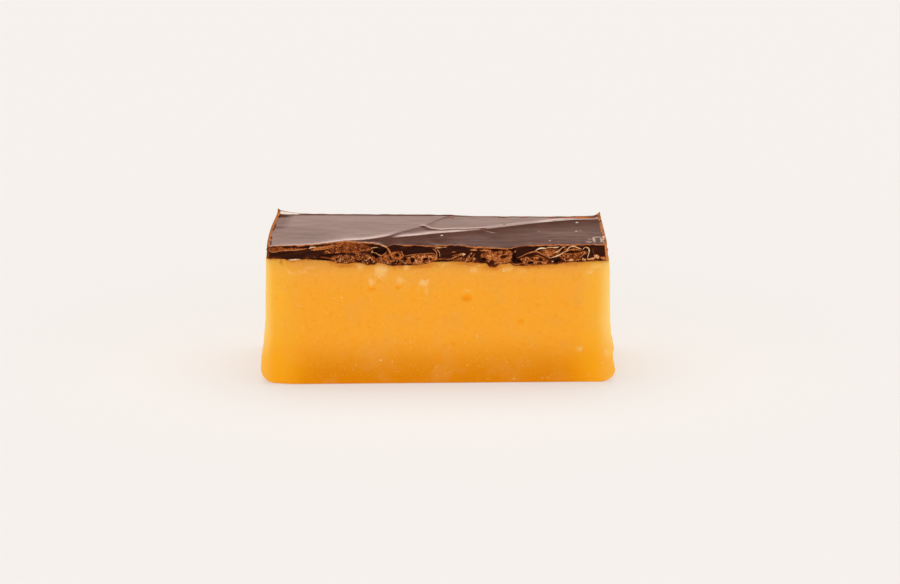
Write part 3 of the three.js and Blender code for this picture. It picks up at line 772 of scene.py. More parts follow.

# %% [markdown]
# ## The torn front
#
# This is where the sweet is most alive. A painter would do it in patches, one over the other, and so does this
# cell. A patch is a tilted ellipse with a tone, a height out of the wall (or into it) and a grit. Tone runs from
# 0, clean dark chocolate, over 0.5, torn brown, to 1, cream where thin flakes let the light through. In the
# holes, grooves and pocket and under the heaps, a tone near 0 is painted shade as well. Noise pushes the points
# about before they are measured, so no edge stays smooth. Places are given as they look from the front, which
# is why the height is corrected for how far the wall leans back.

# %% List the patches
# Patches with a tone near 0 that are pushed into the wall are painted shade as well as dark chocolate: the  holes, the
# grooves, the pocket and the gaps under the heaps.
PATCHES = [  # (x, z, half width, half height, tilt in degrees, tone, out, grit)
    # the layered edge at the left, with the long bite behind it
    (-35.3, 32.7, 4.4, 0.42, 3, 0.46, 0.08, 0.6), (-20.8, 33.1, 5.4, 1.35, -3, 0.47, 0.15, 0.9),
    (-37.6, 32.9, 1.7, 0.5, 5, 0.44, 0.10, 0.4), (-27.0, 33.05, 2.9, 0.38, 9, 0.62, 0.2, 0.4),
    (-23.8, 32.5, 2.8, 0.8, 12, 0.48, 0.0, 1.0), (-19.0, 33.0, 3.7, 1.3, -4, 0.42, 0.0, 0.6),
    (-17.2, 32.9, 0.9, 0.2, -5, 0.20, -0.2, 0.2), (-24.0, 31.3, 3.6, 0.45, 4, 0.02, -0.5, 0.0),
    (-16.9, 31.9, 1.5, 0.2, 0, 0.08, -0.3, 0.1),
    # two heaps of crumbs under the bite
    (-21.9, 30.5, 3.0, 1.0, 0, 0.52, 0.5, 1.0), (-16.9, 30.6, 2.5, 1.2, -14, 0.49, 0.55, 1.0),
    (-22.7, 30.8, 0.45, 0.3, 0, 0.9, 0.2, 0.2), (-24.1, 30.6, 0.25, 0.2, 0, 0.85, 0.1, 0.2),
    (-18.6, 31.1, 0.3, 0.25, 0, 0.85, 0.1, 0.2), (-22.8, 29.6, 0.6, 0.2, 0, 0.02, -0.4, 0.0),
    (-19.6, 29.5, 0.4, 0.25, 0, 0.02, -0.3, 0.0), (-18.0, 30.0, 0.5, 0.3, 0, 0.04, -0.3, 0.0),
    (-15.4, 29.4, 0.8, 0.25, -15, 0.02, -0.4, 0.0),
    # the pocket, its smeared right side and the pinch
    (-12.6, 30.1, 2.0, 0.85, 0, 0.50, 0.15, 0.6), (-12.1, 31.0, 1.5, 0.65, 20, 0.48, 0.1, 0.8),
    (-11.4, 29.8, 1.0, 0.75, 0, 0.50, 0.2, 0.8),
    (-13.3, 32.2, 1.5, 0.65, 0, 0.0, -1.0, 0.0), (-14.6, 31.2, 0.9, 0.45, -20, 0.0, -0.8, 0.0),
    (-9.6, 32.8, 1.4, 0.4, -10, 0.05, -0.25, 0.0), (-9.4, 31.2, 1.5, 1.1, 0, 0.58, 0.3, 0.7),
    (-9.3, 31.3, 0.5, 0.45, 0, 0.12, -0.5, 0.1),
    # the broad flake with its holes, and the clean dark window above it
    (-3.8, 30.3, 4.0, 1.25, 4, 0.65, 0.4, 0.9), (-4.5, 32.4, 3.8, 0.8, 2, 0.03, -0.4, 0.0),
    (-7.4, 30.3, 0.4, 0.4, 0, 0.12, -0.4, 0.1), (-5.7, 30.1, 0.5, 0.65, 25, 0.08, -0.5, 0.1),
    (-2.7, 30.4, 0.6, 0.3, 0, 0.02, -0.6, 0.0), (-1.6, 30.3, 0.25, 0.2, 0, 0.1, -0.4, 0.0),
    (-4.7, 29.4, 0.3, 0.2, 0, 0.85, 0.2, 0.2), (-0.3, 30.6, 0.25, 0.3, 0, 0.8, 0.2, 0.2),
    (-8.9, 29.7, 1.8, 0.6, -8, 0.5, 0.35, 1.0), (-10.2, 30.2, 0.25, 0.2, 0, 0.85, 0.2, 0.2),
    (-9.9, 29.7, 0.4, 0.25, 0, 0.08, -0.3, 0.0), (-8.9, 29.7, 0.5, 0.3, 0, 0.06, -0.3, 0.0),
    # the dark stretch in the middle with its bright chips
    (2.2, 30.2, 1.9, 0.28, 0, 0.5, 0.15, 0.8), (6.0, 30.3, 3.5, 0.5, 0, 0.38, 0.2, 0.9),
    (4.1, 32.0, 0.45, 0.15, 5, 0.6, 0.1, 0.0),
    (6.0, 31.5, 0.6, 0.3, 15, 1.0, 0.3, 0.0), (5.6, 30.4, 0.3, 0.2, 0, 0.9, 0.2, 0.0),
    (7.5, 30.8, 0.15, 0.25, 0, 0.9, 0.2, 0.0), (8.0, 31.6, 0.25, 0.2, 0, 0.8, 0.2, 0.0),
    (8.6, 30.5, 0.2, 0.3, 10, 0.9, 0.2, 0.0), (7.1, 30.1, 0.2, 0.2, 0, 0.8, 0.2, 0.0),
    (8.7, 32.5, 0.85, 0.2, 0, 0.8, 0.15, 0.2), (11.4, 32.4, 1.4, 0.2, -2, 0.7, 0.15, 0.2),
    # the sponge-like flake with holes along its top and a dark drop at its foot
    (14.0, 30.7, 3.8, 1.65, -4, 0.60, 0.4, 0.8), (16.4, 31.9, 1.6, 0.8, -12, 0.60, 0.3, 0.8),
    (13.7, 32.4, 0.85, 0.3, 6, 0.0, -0.6, 0.0), (15.6, 30.85, 0.9, 0.3, 14, 0.22, -0.3, 0.1),
    (15.5, 32.4, 0.6, 0.2, -3, 0.12, -0.4, 0.0), (17.2, 32.5, 0.6, 0.3, -10, 0.0, -0.6, 0.0),
    (9.6, 31.2, 0.6, 1.0, -8, 0.05, -0.2, 0.0), (11.0, 30.2, 0.65, 0.35, -25, 0.02, -0.5, 0.0),
    (13.0, 28.7, 1.1, 0.35, 0, 0.25, 0.35, 0.2), (12.9, 29.7, 0.65, 0.55, 0, 0.1, 0.2, 0.0),
    # the dark window at the right, the fold's web and the flake under it
    (29.4, 31.8, 6.2, 1.05, 0, 0.45, 0.10, 0.7),
    (20.7, 32.2, 2.3, 0.8, 18, 0.05, -0.35, 0.0), (22.6, 32.9, 1.5, 0.4, 4, 0.03, -0.35, 0.0),
    (22.7, 29.8, 3.6, 1.15, 0, 0.58, 0.35, 0.9), (18.4, 32.1, 0.25, 0.25, 0, 0.9, 0.2, 0.2),
    (17.5, 32.4, 0.8, 0.25, -25, 0.0, -0.6, 0.0), (18.1, 31.5, 0.25, 0.65, -20, 0.05, -0.5, 0.0),
    (18.0, 30.3, 0.45, 0.75, 0, 0.0, -0.8, 0.0), (19.3, 29.7, 0.8, 0.3, -25, 0.0, -0.6, 0.0),
    (21.8, 29.3, 0.75, 0.3, 3, 0.15, -0.4, 0.1), (24.0, 29.3, 0.5, 0.25, 0, 0.12, -0.4, 0.1),
    (24.1, 30.2, 0.5, 0.2, -5, 0.12, -0.4, 0.0), (26.1, 31.6, 0.85, 0.85, 0, 0.68, 0.1, 0.4),
    (26.9, 29.7, 0.3, 0.2, 0, 0.9, 0.2, 0.0),
    # the flake under the cream folds, with bright chips along its foot
    (31.2, 30.6, 2.5, 0.9, 0, 0.48, 0.3, 1.0), (29.3, 32.5, 0.5, 0.35, 35, 0.02, -0.4, 0.0),
    (31.9, 31.9, 2.1, 0.25, 0, 0.1, -0.4, 0.2), (31.4, 30.0, 0.75, 0.25, 0, 0.9, 0.3, 0.2),
    (33.0, 30.0, 0.6, 0.22, 0, 0.78, 0.3, 0.3), (34.3, 30.1, 0.5, 0.3, -15, 0.85, 0.3, 0.2),
    (36.0, 30.3, 1.0, 0.25, 5, 0.86, 0.3, 0.4), (37.3, 30.8, 0.55, 0.45, 0, 0.88, 0.3, 0.3),
    (38.7, 30.6, 0.6, 0.3, 0, 0.74, 0.3, 0.3), (28.0, 29.6, 0.65, 0.45, 0, 0.0, -0.6, 0.0),
    (39.5, 30.2, 0.85, 0.25, 0, 0.68, 0.2, 0.2),
]
print(len(PATCHES), "patches")

# %% [markdown]
# The wall without its relief is one function of the place along the slab and the level between its two edges.
# The patches are then painted on it. A place that is given as it looks from the front is turned back into a
# level by `wall_level`, and the ribbons and crumbs further down find the wall with it.

# %% Define the torn wall
VIEW_SLOPE = 0.236  # how much higher a point looks from the front for each mm that it stands back
LIP_LINE = 0.26  # mm of copper-brown along the broken lip
PATCH_EDGE = {"tone": (0.88, 1.08), "out": (0.7, 1.2)}  # radii between which a patch ends
CLEAN = {"tone": 0.06, "streaks": 0.07, "out": 0.05, "grit": 0.12}  # the wall before any patch
FOOT_LINE = {"tone": 0.5, "cover": 0.8, "tall": (0.05, 0.38)}
END_LINE = {"left": 0.36, "right": 0.76, "wide": (0.45, 0.7)}
GRAIN = {"tone": 0.20, "out": 0.10}
CRUST = {"tone": 0.10, "out": 0.12}


def plain_wall(x, level):
    """The wall without its relief: it rises from the lower edge to the lip and leans back more and more."""
    z = lower_z(x) + (top_z(x, lip_y(x)) - lower_z(x)) * level
    foot = front_y(x) - OVERHANG
    y = foot + (lip_y(x) - foot) * level**1.6
    return y, z


def looks_from_front(x, y, z):
    """The height at which a point is seen from the front, over the front cut."""
    return z + VIEW_SLOPE * (y - front_y(x))


def paint(x, seen):
    """Tone, height out and grit of the torn wall: each patch in turn covers what lies under it."""
    wx = x + 0.16 * rough(x, seen, 0.9, 91) + 0.06 * noise(x, seen, 0.22, 95)
    wz = seen + 0.13 * rough(x, seen, 0.8, 93) + 0.05 * noise(x, seen, 0.22, 96)
    tone = CLEAN["tone"] + CLEAN["streaks"] * noise(0.6 * x, 5 * (seen - 0.15 * x), 1.6, 97)
    out = CLEAN["out"] * rough(x, 2 * seen, 1.5, 98)
    grit = CLEAN["grit"]
    for *ellipse, patch_tone, patch_out, patch_grit in PATCHES:
        radius = tilted(wx, wz, *ellipse)
        cover = 1 - ease(radius, *PATCH_EDGE["tone"])
        tone = tone + (patch_tone - tone) * cover
        out = out + (patch_out - out) * (1 - ease(radius, *PATCH_EDGE["out"]))
        grit = grit + (patch_grit - grit) * cover
    foot = (1 - ease(seen - lower_z(x), *FOOT_LINE["tall"])) * ease(noise(x, 0, 0.8, 103), -0.5, 0.3)
    tone = tone + (FOOT_LINE["tone"] - tone) * FOOT_LINE["cover"] * foot
    end_tone = np.where(x < 0, END_LINE["left"], END_LINE["right"])
    tone = tone + (end_tone - tone) * (1 - ease(HALF - np.abs(x), *END_LINE["wide"]))
    grain = rough(x, seen, 0.42, 101, 2)
    crust = np.abs(rough(x, seen, 0.8, 105, 2))
    tone = np.clip(tone + grit * (GRAIN["tone"] * grain - CRUST["tone"] * crust), 0, 1)
    out = out + grit * (GRAIN["out"] * grain - CRUST["out"] * crust)
    return tone, out, grit


def wall_level(x, seen):
    """The level at which the plain wall looks as high as seen: six rounds of correcting a straight guess."""
    level = 0.5 + 0 * x
    for _ in range(6):
        rise = looks_from_front(x, lip_y(x), top_z(x, lip_y(x))) - lower_z(x)
        level = np.clip(level + (seen - looks_from_front(x, *plain_wall(x, level))) / rise, 0, 1)
    return level


print("the lip looks", round(float(top_z(0.0, lip_y(0.0))), 2), "mm high at the middle")

# %% [markdown]
# The poured skin has small scars: brown nicks, mostly along the back edge, and a few pale specks and scratches.
# Each is a spot of torn finish with its own tone, and where the spots end the poured finish goes on.

# %% List the scars
SCARS = [  # (x, y, half length along x, along y, tone, cover)
    (3.3, 14.2, 1.0, 0.5, 0.42, 1), (1.9, 13.4, 0.8, 0.35, 0.3, 1), (11.1, 1.2, 0.9, 2.0, 0.26, 1),
    (28.9, 10.2, 0.8, 0.3, 0.15, 1), (16.2, 7.6, 0.4, 0.5, 0.2, 1), (16.2, 15.0, 1.2, 0.55, 0.34, 1),
    (21.2, 15.1, 1.1, 0.5, 0.36, 1), (28.3, 14.8, 1.2, 0.55, 0.42, 1), (31.9, 14.8, 1.5, 0.55, 0.42, 1),
    (35.6, 14.5, 2.4, 1.0, 0.60, 1), (38.4, 14.1, 0.7, 0.7, 0.45, 1),
    (1.1, -5.8, 0.36, 0.5, 1.12, 0.6), (33.9, 8.1, 0.3, 0.5, 1.12, 0.8), (33.4, -1.2, 0.4, 0.45, 1.1, 0.35),
    (34.4, -0.6, 0.3, 0.3, 1.1, 0.3), (26.7, -11.6, 0.22, 0.8, 1.1, 0.35), (24.4, -1.5, 0.2, 0.4, 1.1, 0.25),
    (37.2, -10.6, 0.34, 3.0, 1.08, 0.4), (38.9, -10.6, 0.30, 2.8, 1.08, 0.45), (38.1, -7.8, 1.1, 0.6, 1.08, 0.35),
    (36.4, -10.0, 0.6, 0.5, 1.08, 0.3), (35.9, -13.2, 0.8, 0.9, 1.08, 0.25),
]
SCAR_REACH = 1.8  # half lengths from a scar's centre within which its tone holds
FILM = {  # the pale film along the back left curl
    "wide": [(-39.3, 1.3), (-33.6, 0.4)], "begin": (-39.4, -39.0), "end": (-35.0, -33.6), "tone": 1.15, "cover": 0.85,
}


def scars(x, y):
    """Tone and cover of the scars: soft ellipses, each with a tone of its own, which is 0 away from them."""
    tone, cover = 0 * x, 0 * x
    ragged = 1 + 0.35 * noise(x, y, 0.3, 121)
    for px, py, wide, deep, mark, most in SCARS:
        radius = np.hypot((x - px) / wide, (y - py) / deep) * ragged
        tone = np.where(radius < SCAR_REACH, mark, tone)
        cover = np.maximum(cover, most * (1 - ease(radius, 0.75, 1.1)))
    reach = np.interp(x, *np.transpose(FILM["wide"]))
    film = FILM["cover"] * (1 - ease(back_y(x) - y, 0.75 * reach, reach)) * within(x, FILM["begin"], FILM["end"])
    return np.where(film > 0, FILM["tone"], tone), np.maximum(cover, film)


print(len(SCARS), "scars")

# %% [markdown]
# The layer is built of three sets of points: rings that shrink under it, rings up its walls, and a fine grid on
# top whose border is the last ring. The front wall is torn, the back one is nearly plain, and the ends join both.

# %% Build the chocolate layer
LAYER_COLUMNS = 480
LAYER_CROWD = 0.3
WALL_LEVELS = 30
UNDER_SHRINKS = (0.4, 0.7, 3.0, 9.0, 16.5)
ROW_DEPTH = 33.0  # mm from lip to back that the rows are laid out for
BEHIND_LIP = (0, 0.08, 0.17, 0.27, 0.4, 0.58, 0.8, 1.1, 1.45, 1.8)  # mm
BEFORE_BACK = (0.5, 0.22, 0)  # mm
EVEN_ROWS = {"first": 2.15, "last": 0.85, "count": 84}
LIP_TONE = 0.62  # the copper brown of the lip, on the wall
EDGE_TONE = 0.60  # and of all thin edges, on the top
BACK_TONE = 0.42
# the near-black of the dashes of painted shade just inside the left rim
SHADE_DASH_TONE = 0.03
CUT_TONE = 0.16  # on the plain cuts
RELIEF_RISE = {"low": 9, "high": 7}  # how fast the relief grows from the wall's lower and upper edge
RIM_LINE = {"left": 0.55, "right": 0.62, "ragged": 0.10, "soft": 0.1}
SHADE_DASH_LINE = (0.3, 0.45)  # mm inside the rim's line
BACK_LINE = {"wide": (0.2, 0.45), "cover": 0.8}


def top_rows():
    """Shares of the depth from lip to back: fine rows behind the lip, even ones, and fine ones at the back."""
    even = np.linspace(EVEN_ROWS["first"], ROW_DEPTH - EVEN_ROWS["last"], EVEN_ROWS["count"])
    return np.concatenate([BEHIND_LIP, even, ROW_DEPTH - np.array(BEFORE_BACK)]) / ROW_DEPTH


def underside(x, share):
    """A point of the face towards the fudge, at a share of the depth between the cuts."""
    y = front_y(x) - GAP + (back_y(x) - front_y(x) + GAP) * share
    return y, layer_z(x, y) + GAP


def back_wall(x, level):
    """A point of the back cut at a level between its edges, moved by waves that grow with the level."""
    low = layer_z(x, back_y(x)) + GAP
    z = low + (top_z(x, back_y(x)) - low) * level
    return back_y(x) + CUT_WAVE * level * wave(x, 3 * z, 5.3), z


def top_surface(x, share):
    """A point of the top at a share of the depth from lip to back."""
    back = back_wall(x, 1)[0]
    y = lip_y(x) + (back - lip_y(x)) * share
    return y, top_z(x, y)


def wall_points(x, share, level):
    """One point of the walls: torn in front, nearly plain at the back, and a bridge between both at the ends."""
    y_plain, z_front = plain_wall(x, level)
    tone, out, grit = paint(x, looks_from_front(x, y_plain, z_front))
    free = np.minimum(1, RELIEF_RISE["low"] * level) * np.minimum(1, RELIEF_RISE["high"] * (1 - level))
    free = free * inside_ends(x, 0.6)
    y_back, z_back = back_wall(x, level)
    low_y, low_z = underside(x, share)
    high_y, high_z = top_surface(x, share)
    y_end, z_end = low_y + (high_y - low_y) * level, low_z + (high_z - low_z) * level
    swell = np.sign(x) * CUT_WAVE * 4 * level * (1 - level) * wave(y_end, 2.4 * z_end, 3.7)
    front, back = share == 0, share == 1
    y = np.where(front, y_plain - free * out, np.where(back, y_back, y_end))
    z = np.where(front, z_front, np.where(back, z_back, z_end))
    x = np.where(front | back, x, x + swell)
    return np.stack([x, y, z], -1), front * tone, front * grit


def under_rings(x, share):
    """Rings under the layer, the smallest first. In front, the two largest lead up to the ragged lower edge."""
    rings = []
    for shrink in UNDER_SHRINKS:
        sx = x * (1 - shrink / HALF)
        y, z = underside(sx, 0.5 + (share - 0.5) * (1 - shrink / HALF_DEPTH))
        if shrink == UNDER_SHRINKS[0]:
            y = np.where(share == 0, front_y(sx) - GAP, y)
            z = np.where(share == 0, lower_z(sx) + GAP, z)
        if shrink == UNDER_SHRINKS[1]:
            y = np.where(share == 0, front_y(sx) - 0.8 * GAP, y)
        rings.append(np.stack([sx, y, z], -1))
    return np.array(rings[::-1])


def shade_walls(x, share, level, tone, around):
    """Adds to the walls' tone a copper line under the lip, and a dull brown on the back and the ends."""
    below_lip = (1 - level) * (top_z(x, lip_y(x)) - lower_z(x))
    thick = LIP_LINE * (1 + 0.6 * noise(x, 0, 2.3, 114))
    copper = (share == 0) * (1 - ease(below_lip, 0.7 * thick, thick))
    tone = tone + (LIP_TONE + 0.12 * noise(x, 0, 0.7, 115) - tone) * copper
    return tone + (share > 0) * (CUT_TONE + 0.10 * noise(around, 0, 0.7, 116))


def shade_top(x, y):
    """Tone and torn finish of the top: lines along the lip, ends and back, painted shade dashes at the left, scars."""
    from_end = HALF - np.abs(x)
    line = LIP_LINE * (1 + 0.5 * noise(x, 0, 1.7, 112))
    on_lip = 1 - ease(y - lip_y(x), 0.5 * line, line)
    scallop = np.where(x < 0, RIM_LINE["left"], RIM_LINE["right"]) + RIM_LINE["ragged"] * noise(y, 0, 1.1, 111)
    on_rim = 1 - ease(from_end, scallop, scallop + RIM_LINE["soft"])
    # painted shade: dark dashes just inside the left rim, along its scalloped inner edge
    dashes = ease(noise(y, 0, 1.5, 110), 0.0, 0.2) * (x < 0)
    on_shade_dash = dashes * (1 - ease(from_end - scallop, *SHADE_DASH_LINE))
    on_back = BACK_LINE["cover"] * (1 - ease(back_y(x) - y, *BACK_LINE["wide"]))
    scar_tone, scar_cover = scars(x, y)
    torn = np.maximum.reduce([on_lip, on_rim, on_shade_dash, on_back, scar_cover])

    tone = EDGE_TONE + 0.12 * noise(x, y, 0.8, 113)
    tone = tone + on_rim * (x > 0) * (0.10 - 0.48 * ease(noise(0, y, 0.6, 117), 0.1, 0.4))
    shade_dashed = tone + (SHADE_DASH_TONE - tone) * on_shade_dash * (1 - on_rim)
    tone = np.where(on_back > 0, BACK_TONE * tone / EDGE_TONE, shade_dashed)
    return np.where(scar_tone > 0, scar_tone, tone), torn


def build_layer():
    """Joins the rings and the grid, shades them, and stretches the whole to the slab's real ends."""
    rows = top_rows()
    columns = HALF * crowd(LAYER_COLUMNS, LAYER_CROWD)
    i, j = border(LAYER_COLUMNS, len(rows) - 1)
    x, share = columns[i], rows[j]
    level = np.linspace(0, 1, WALL_LEVELS + 1)[:, None]
    walls, wall_tone, wall_grit = wall_points(x + 0 * level, share + 0 * level, level + 0 * x)
    below = under_rings(x, share)
    rings = np.concatenate([below, walls])
    ring_ids = np.arange(rings.shape[0] * rings.shape[1]).reshape(rings.shape[:2])

    grid_x, grid_share = np.meshgrid(columns, rows, indexing="ij")
    grid_ids = np.full(grid_x.shape, -1)
    grid_ids[i, j] = ring_ids[-1]
    inner = grid_ids < 0
    grid_ids[inner] = ring_ids.size + np.arange(inner.sum())
    top_x = grid_x[inner]
    top_y, top_height = top_surface(top_x, grid_share[inner])
    points = np.concatenate([rings.reshape(-1, 3), np.stack([top_x, top_y, top_height], -1)])
    faces = ring_faces(ring_ids).tolist() + grid_faces(grid_ids).tolist() + [ring_ids[0, ::-1].tolist()]

    wall_tone = shade_walls(x, share, level, wall_tone, x + below[0, :, 1])
    top_tone, top_torn = shade_top(top_x, top_y)
    hidden = np.zeros(below.shape[0] * below.shape[1])
    marks = {
        "tone": np.concatenate([hidden, wall_tone.ravel(), top_tone]),
        "grit": np.concatenate([hidden, wall_grit.ravel(), 0 * top_x]),
        "torn": np.concatenate([np.ones(ring_ids.size), top_torn]),
        "lean": lean_z(points[:, 0], points[:, 1]),
    }
    low = np.clip((HEIGHT - points[:, 2]) / (HEIGHT - LAYER_BASE), 0, 1)
    points[:, 0] = stretch(points[:, 0], points[:, 1], 1, lambda end: end["lean"] * low)
    return make_piece("chocolate", points, faces, marks)


chocolate = build_layer()
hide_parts("chocolate_layer")
print("chocolate:", len(chocolate.data.polygons), "faces")

# %% [markdown]
# ## Dragged ribbons
#
# The blade dragged thin ribbons of soft chocolate along the wall. They catch the light, and they are finer than
# the wall's grid, so each is its own tube: a flattened circle carried along a smooth path, thin at both ends.
# Two pale ones near the left end, at the lip and under the lower edge, are painted highlights.

# %% List the ribbons
RIBBONS = [  # (tone, width, out, path seen from the front)
    (0.68, 0.24, 0.15, [(-39.2, 33.4), (-39.4, 32.5), (-38.8, 32.1), (-37.6, 32.3), (-36.4, 32.65), (-34.6, 32.65),
                        (-33.5, 32.6), (-31.1, 32.9), (-30.2, 33.05)]),
    # a painted highlight on the left lip
    (1.00, 0.30, 0.2, [(-30.1, 33.0), (-29.4, 33.3), (-28.4, 33.3)]),
    (0.66, 0.30, 0.2, [(-28.6, 33.2), (-27.6, 33.3), (-26.6, 33.3), (-25.6, 33.5), (-24.2, 33.85)]),
    # a painted highlight under the left lower edge
    (1.02, 0.26, 0.15, [(-34.9, 30.25), (-33.8, 30.3), (-32.2, 30.4)]),
    (0.62, 0.15, 0.1, [(-18.3, 32.8), (-17.8, 32.4), (-16.9, 32.5), (-16.0, 32.7)]),
    (0.80, 0.20, 0.2, [(-15.9, 31.2), (-15.5, 30.7), (-15.0, 30.2), (-14.5, 29.7)]),
    (0.85, 0.18, 0.2, [(-15.5, 33.0), (-14.8, 33.2), (-13.9, 33.2)]),
    (0.75, 0.20, 0.25, [(-15.3, 32.7), (-15.0, 32.3), (-15.6, 32.0), (-14.6, 31.9), (-13.8, 31.5), (-13.0, 31.1),
                        (-12.3, 31.6), (-11.8, 32.1)]),
    (0.90, 0.30, 0.3, [(-13.0, 33.7), (-12.3, 33.5), (-11.7, 33.2)]),
    (0.68, 0.50, 0.4, [(-11.8, 33.3), (-11.3, 32.6), (-10.8, 31.6), (-10.3, 30.5)]),
    (0.68, 0.25, 0.25, [(-8.4, 32.3), (-7.8, 31.1)]),
    (0.68, 0.18, 0.1, [(-7.9, 31.1), (-7.0, 31.2), (-5.1, 31.5), (-3.4, 31.6), (-1.5, 31.8), (-0.5, 31.6),
                       (-0.1, 30.8)]),
    (0.65, 0.15, 0.1, [(-7.2, 31.0), (-6.7, 30.3), (-6.1, 29.5)]),
    (0.72, 0.18, 0.2, [(-1.0, 32.8), (-0.3, 32.4), (0.0, 31.7), (0.0, 30.8), (-0.3, 30.3)]),
    (0.75, 0.18, 0.2, [(-0.3, 32.9), (0.4, 32.4), (0.7, 31.6), (0.7, 30.9)]),
    (0.85, 0.22, 0.2, [(-8.6, 30.0), (-7.9, 29.7), (-7.2, 29.3)]),
    (0.60, 0.20, 0.2, [(-11.3, 29.1), (-10.8, 29.7), (-10.5, 30.3)]),
    (0.85, 0.15, 0.1, [(-0.5, 33.0), (1.2, 33.1), (2.4, 33.3)]),
    (0.66, 0.20, 0.2, [(3.2, 30.3), (4.1, 30.8), (5.3, 31.2), (6.5, 31.7)]),
    (0.52, 0.18, 0.2, [(3.5, 31.1), (4.6, 31.4), (6.1, 31.7)]),
    (0.62, 0.18, 0.2, [(4.7, 30.2), (5.7, 30.7), (6.3, 30.9)]),
    (0.55, 0.22, 0.2, [(6.7, 30.0), (7.1, 30.7), (7.7, 31.3), (8.0, 31.7)]),
    (0.55, 0.20, 0.2, [(7.5, 29.9), (8.0, 30.5), (8.6, 31.1), (8.9, 31.7)]),
    (0.60, 0.22, 0.2, [(8.3, 29.9), (8.8, 30.5)]),
    (0.65, 0.28, 0.35, [(18.9, 30.6), (19.8, 30.9), (20.7, 31.4), (21.9, 31.8), (23.1, 32.2), (24.1, 31.8),
                        (25.2, 31.2), (26.0, 30.7), (26.5, 30.3)]),
    (0.65, 0.25, 0.25, [(17.5, 29.4), (18.2, 29.0), (19.1, 29.0), (19.8, 29.2)]),
    (0.65, 0.18, 0.1, [(22.7, 31.0), (23.6, 31.1), (24.5, 30.8), (25.0, 30.6)]),
    (0.70, 0.18, 0.1, [(22.7, 29.7), (23.5, 29.7), (24.4, 29.6)]),
    (1.00, 0.28, 0.35, [(23.1, 32.3), (23.5, 32.6), (24.3, 32.9), (25.0, 32.9), (25.6, 32.8)]),
    (0.98, 0.22, 0.35, [(25.6, 32.8), (26.1, 33.1), (26.8, 33.1), (27.6, 33.0), (28.7, 33.2)]),
    (0.80, 0.22, 0.3, [(25.2, 32.5), (25.9, 31.6), (26.5, 30.5)]),
    (0.92, 0.28, 0.4, [(26.5, 30.5), (27.4, 30.8), (28.4, 31.1), (29.4, 31.7), (30.3, 32.2), (30.8, 32.9),
                       (31.4, 33.3), (32.3, 33.3), (33.1, 32.9), (34.0, 32.6)]),
    (0.90, 0.22, 0.3, [(27.1, 31.7), (28.4, 32.1), (28.9, 32.5), (29.4, 33.1), (30.2, 33.2)]),
    (0.70, 0.20, 0.25, [(30.0, 31.8), (31.0, 32.5), (32.3, 32.7), (33.5, 32.4)]),
    (0.62, 0.20, 0.2, [(29.1, 31.4), (30.6, 31.5), (32.1, 31.4), (33.4, 31.7), (34.2, 32.0)]),
    (0.92, 0.25, 0.35, [(34.2, 32.5), (34.5, 33.0), (35.1, 33.1), (35.6, 32.8), (35.7, 32.0), (35.5, 31.2),
                        (35.2, 30.6)]),
    (0.75, 0.20, 0.25, [(34.5, 32.2), (34.6, 31.7), (34.2, 31.1), (33.6, 30.8)]),
    (0.65, 0.18, 0.2, [(34.2, 32.0), (33.8, 31.6), (33.2, 31.2)]),
    (0.45, 0.12, 0.1, [(36.4, 32.8), (36.6, 31.9), (36.9, 31.1)]),
]
print(len(RIBBONS), "ribbons")

# %% [markdown]
# A ribbon's path is drawn with few points. Cutting its corners again and again turns it into a curve, and
# evenly spaced points on that curve carry the tube.

# %% Build the ribbons
RIBBON_STEPS = 36
RIBBON_SIDES = 8
RIBBON_FLAT = 0.7  # thickness over width
RIBBON_GRIT = 0.3
RIBBON_TAPER = {"by": 0.85, "power": 5}
RIBBON_UNEVEN = 0.35
RIBBON_BED = (-0.3, 0.6)  # the relief that a ribbon follows, in mm out of the wall
CORNER_CUTS = 4


def smooth_path(path, steps):
    """Cuts the corners of a path, each time at a quarter and three quarters, then spaces it evenly."""
    points = np.array(path, float)
    for _ in range(CORNER_CUTS):
        a, b = points[:-1], points[1:]
        cut = np.stack([0.75 * a + 0.25 * b, 0.25 * a + 0.75 * b], 1).reshape(-1, 2)
        points = np.concatenate([points[:1], cut, points[-1:]])
    length = np.concatenate([[0], np.cumsum(np.linalg.norm(np.diff(points, axis=0), axis=1))])
    even = np.linspace(0, length[-1], steps)
    return np.stack([np.interp(even, length, points[:, k]) for k in range(2)], -1)


def ribbon_skin(tone, width, out, path, seed):
    """A flattened tube on the torn wall: cosine times the half width across the path, sine times less of it
    towards the eye. The half width falls steeply at both ends and is uneven between them."""
    line = smooth_path(path, RIBBON_STEPS)
    x, seen = line[:, 0], line[:, 1]
    t = np.linspace(0, 1, RIBBON_STEPS)
    y, z = plain_wall(x, wall_level(x, seen))
    y = y - np.clip(paint(x, seen)[1], *RIBBON_BED) - 0.5 * out
    heading = np.gradient(line, axis=0)
    heading /= np.linalg.norm(heading, axis=1, keepdims=True)
    sideways = np.stack([-heading[:, 1], 0 * t, heading[:, 0]], -1)[:, None]
    taper = 1 - RIBBON_TAPER["by"] * np.abs(2 * t - 1) ** RIBBON_TAPER["power"]
    half = 0.5 * width * taper * (1 + RIBBON_UNEVEN * noise(6 * t, 0, 1.0, seed))
    around = np.linspace(0, 2 * np.pi, RIBBON_SIDES, endpoint=False)
    across = (half[:, None] * np.cos(around))[..., None] * sideways
    towards = (RIBBON_FLAT * half[:, None] * np.sin(around))[..., None] * np.array([0, -1, 0])
    points = np.stack([x, y, z], -1)[:, None] + across + towards
    ids = np.arange(RIBBON_STEPS * RIBBON_SIDES).reshape(RIBBON_STEPS, RIBBON_SIDES)
    faces = ring_faces(ids).tolist() + [ids[0, ::-1].tolist(), ids[-1].tolist()]
    shade = tone + 0.08 * noise(9 * t, 0, 1.0, seed + 1)
    return points.reshape(-1, 3), faces, np.repeat(shade, RIBBON_SIDES)


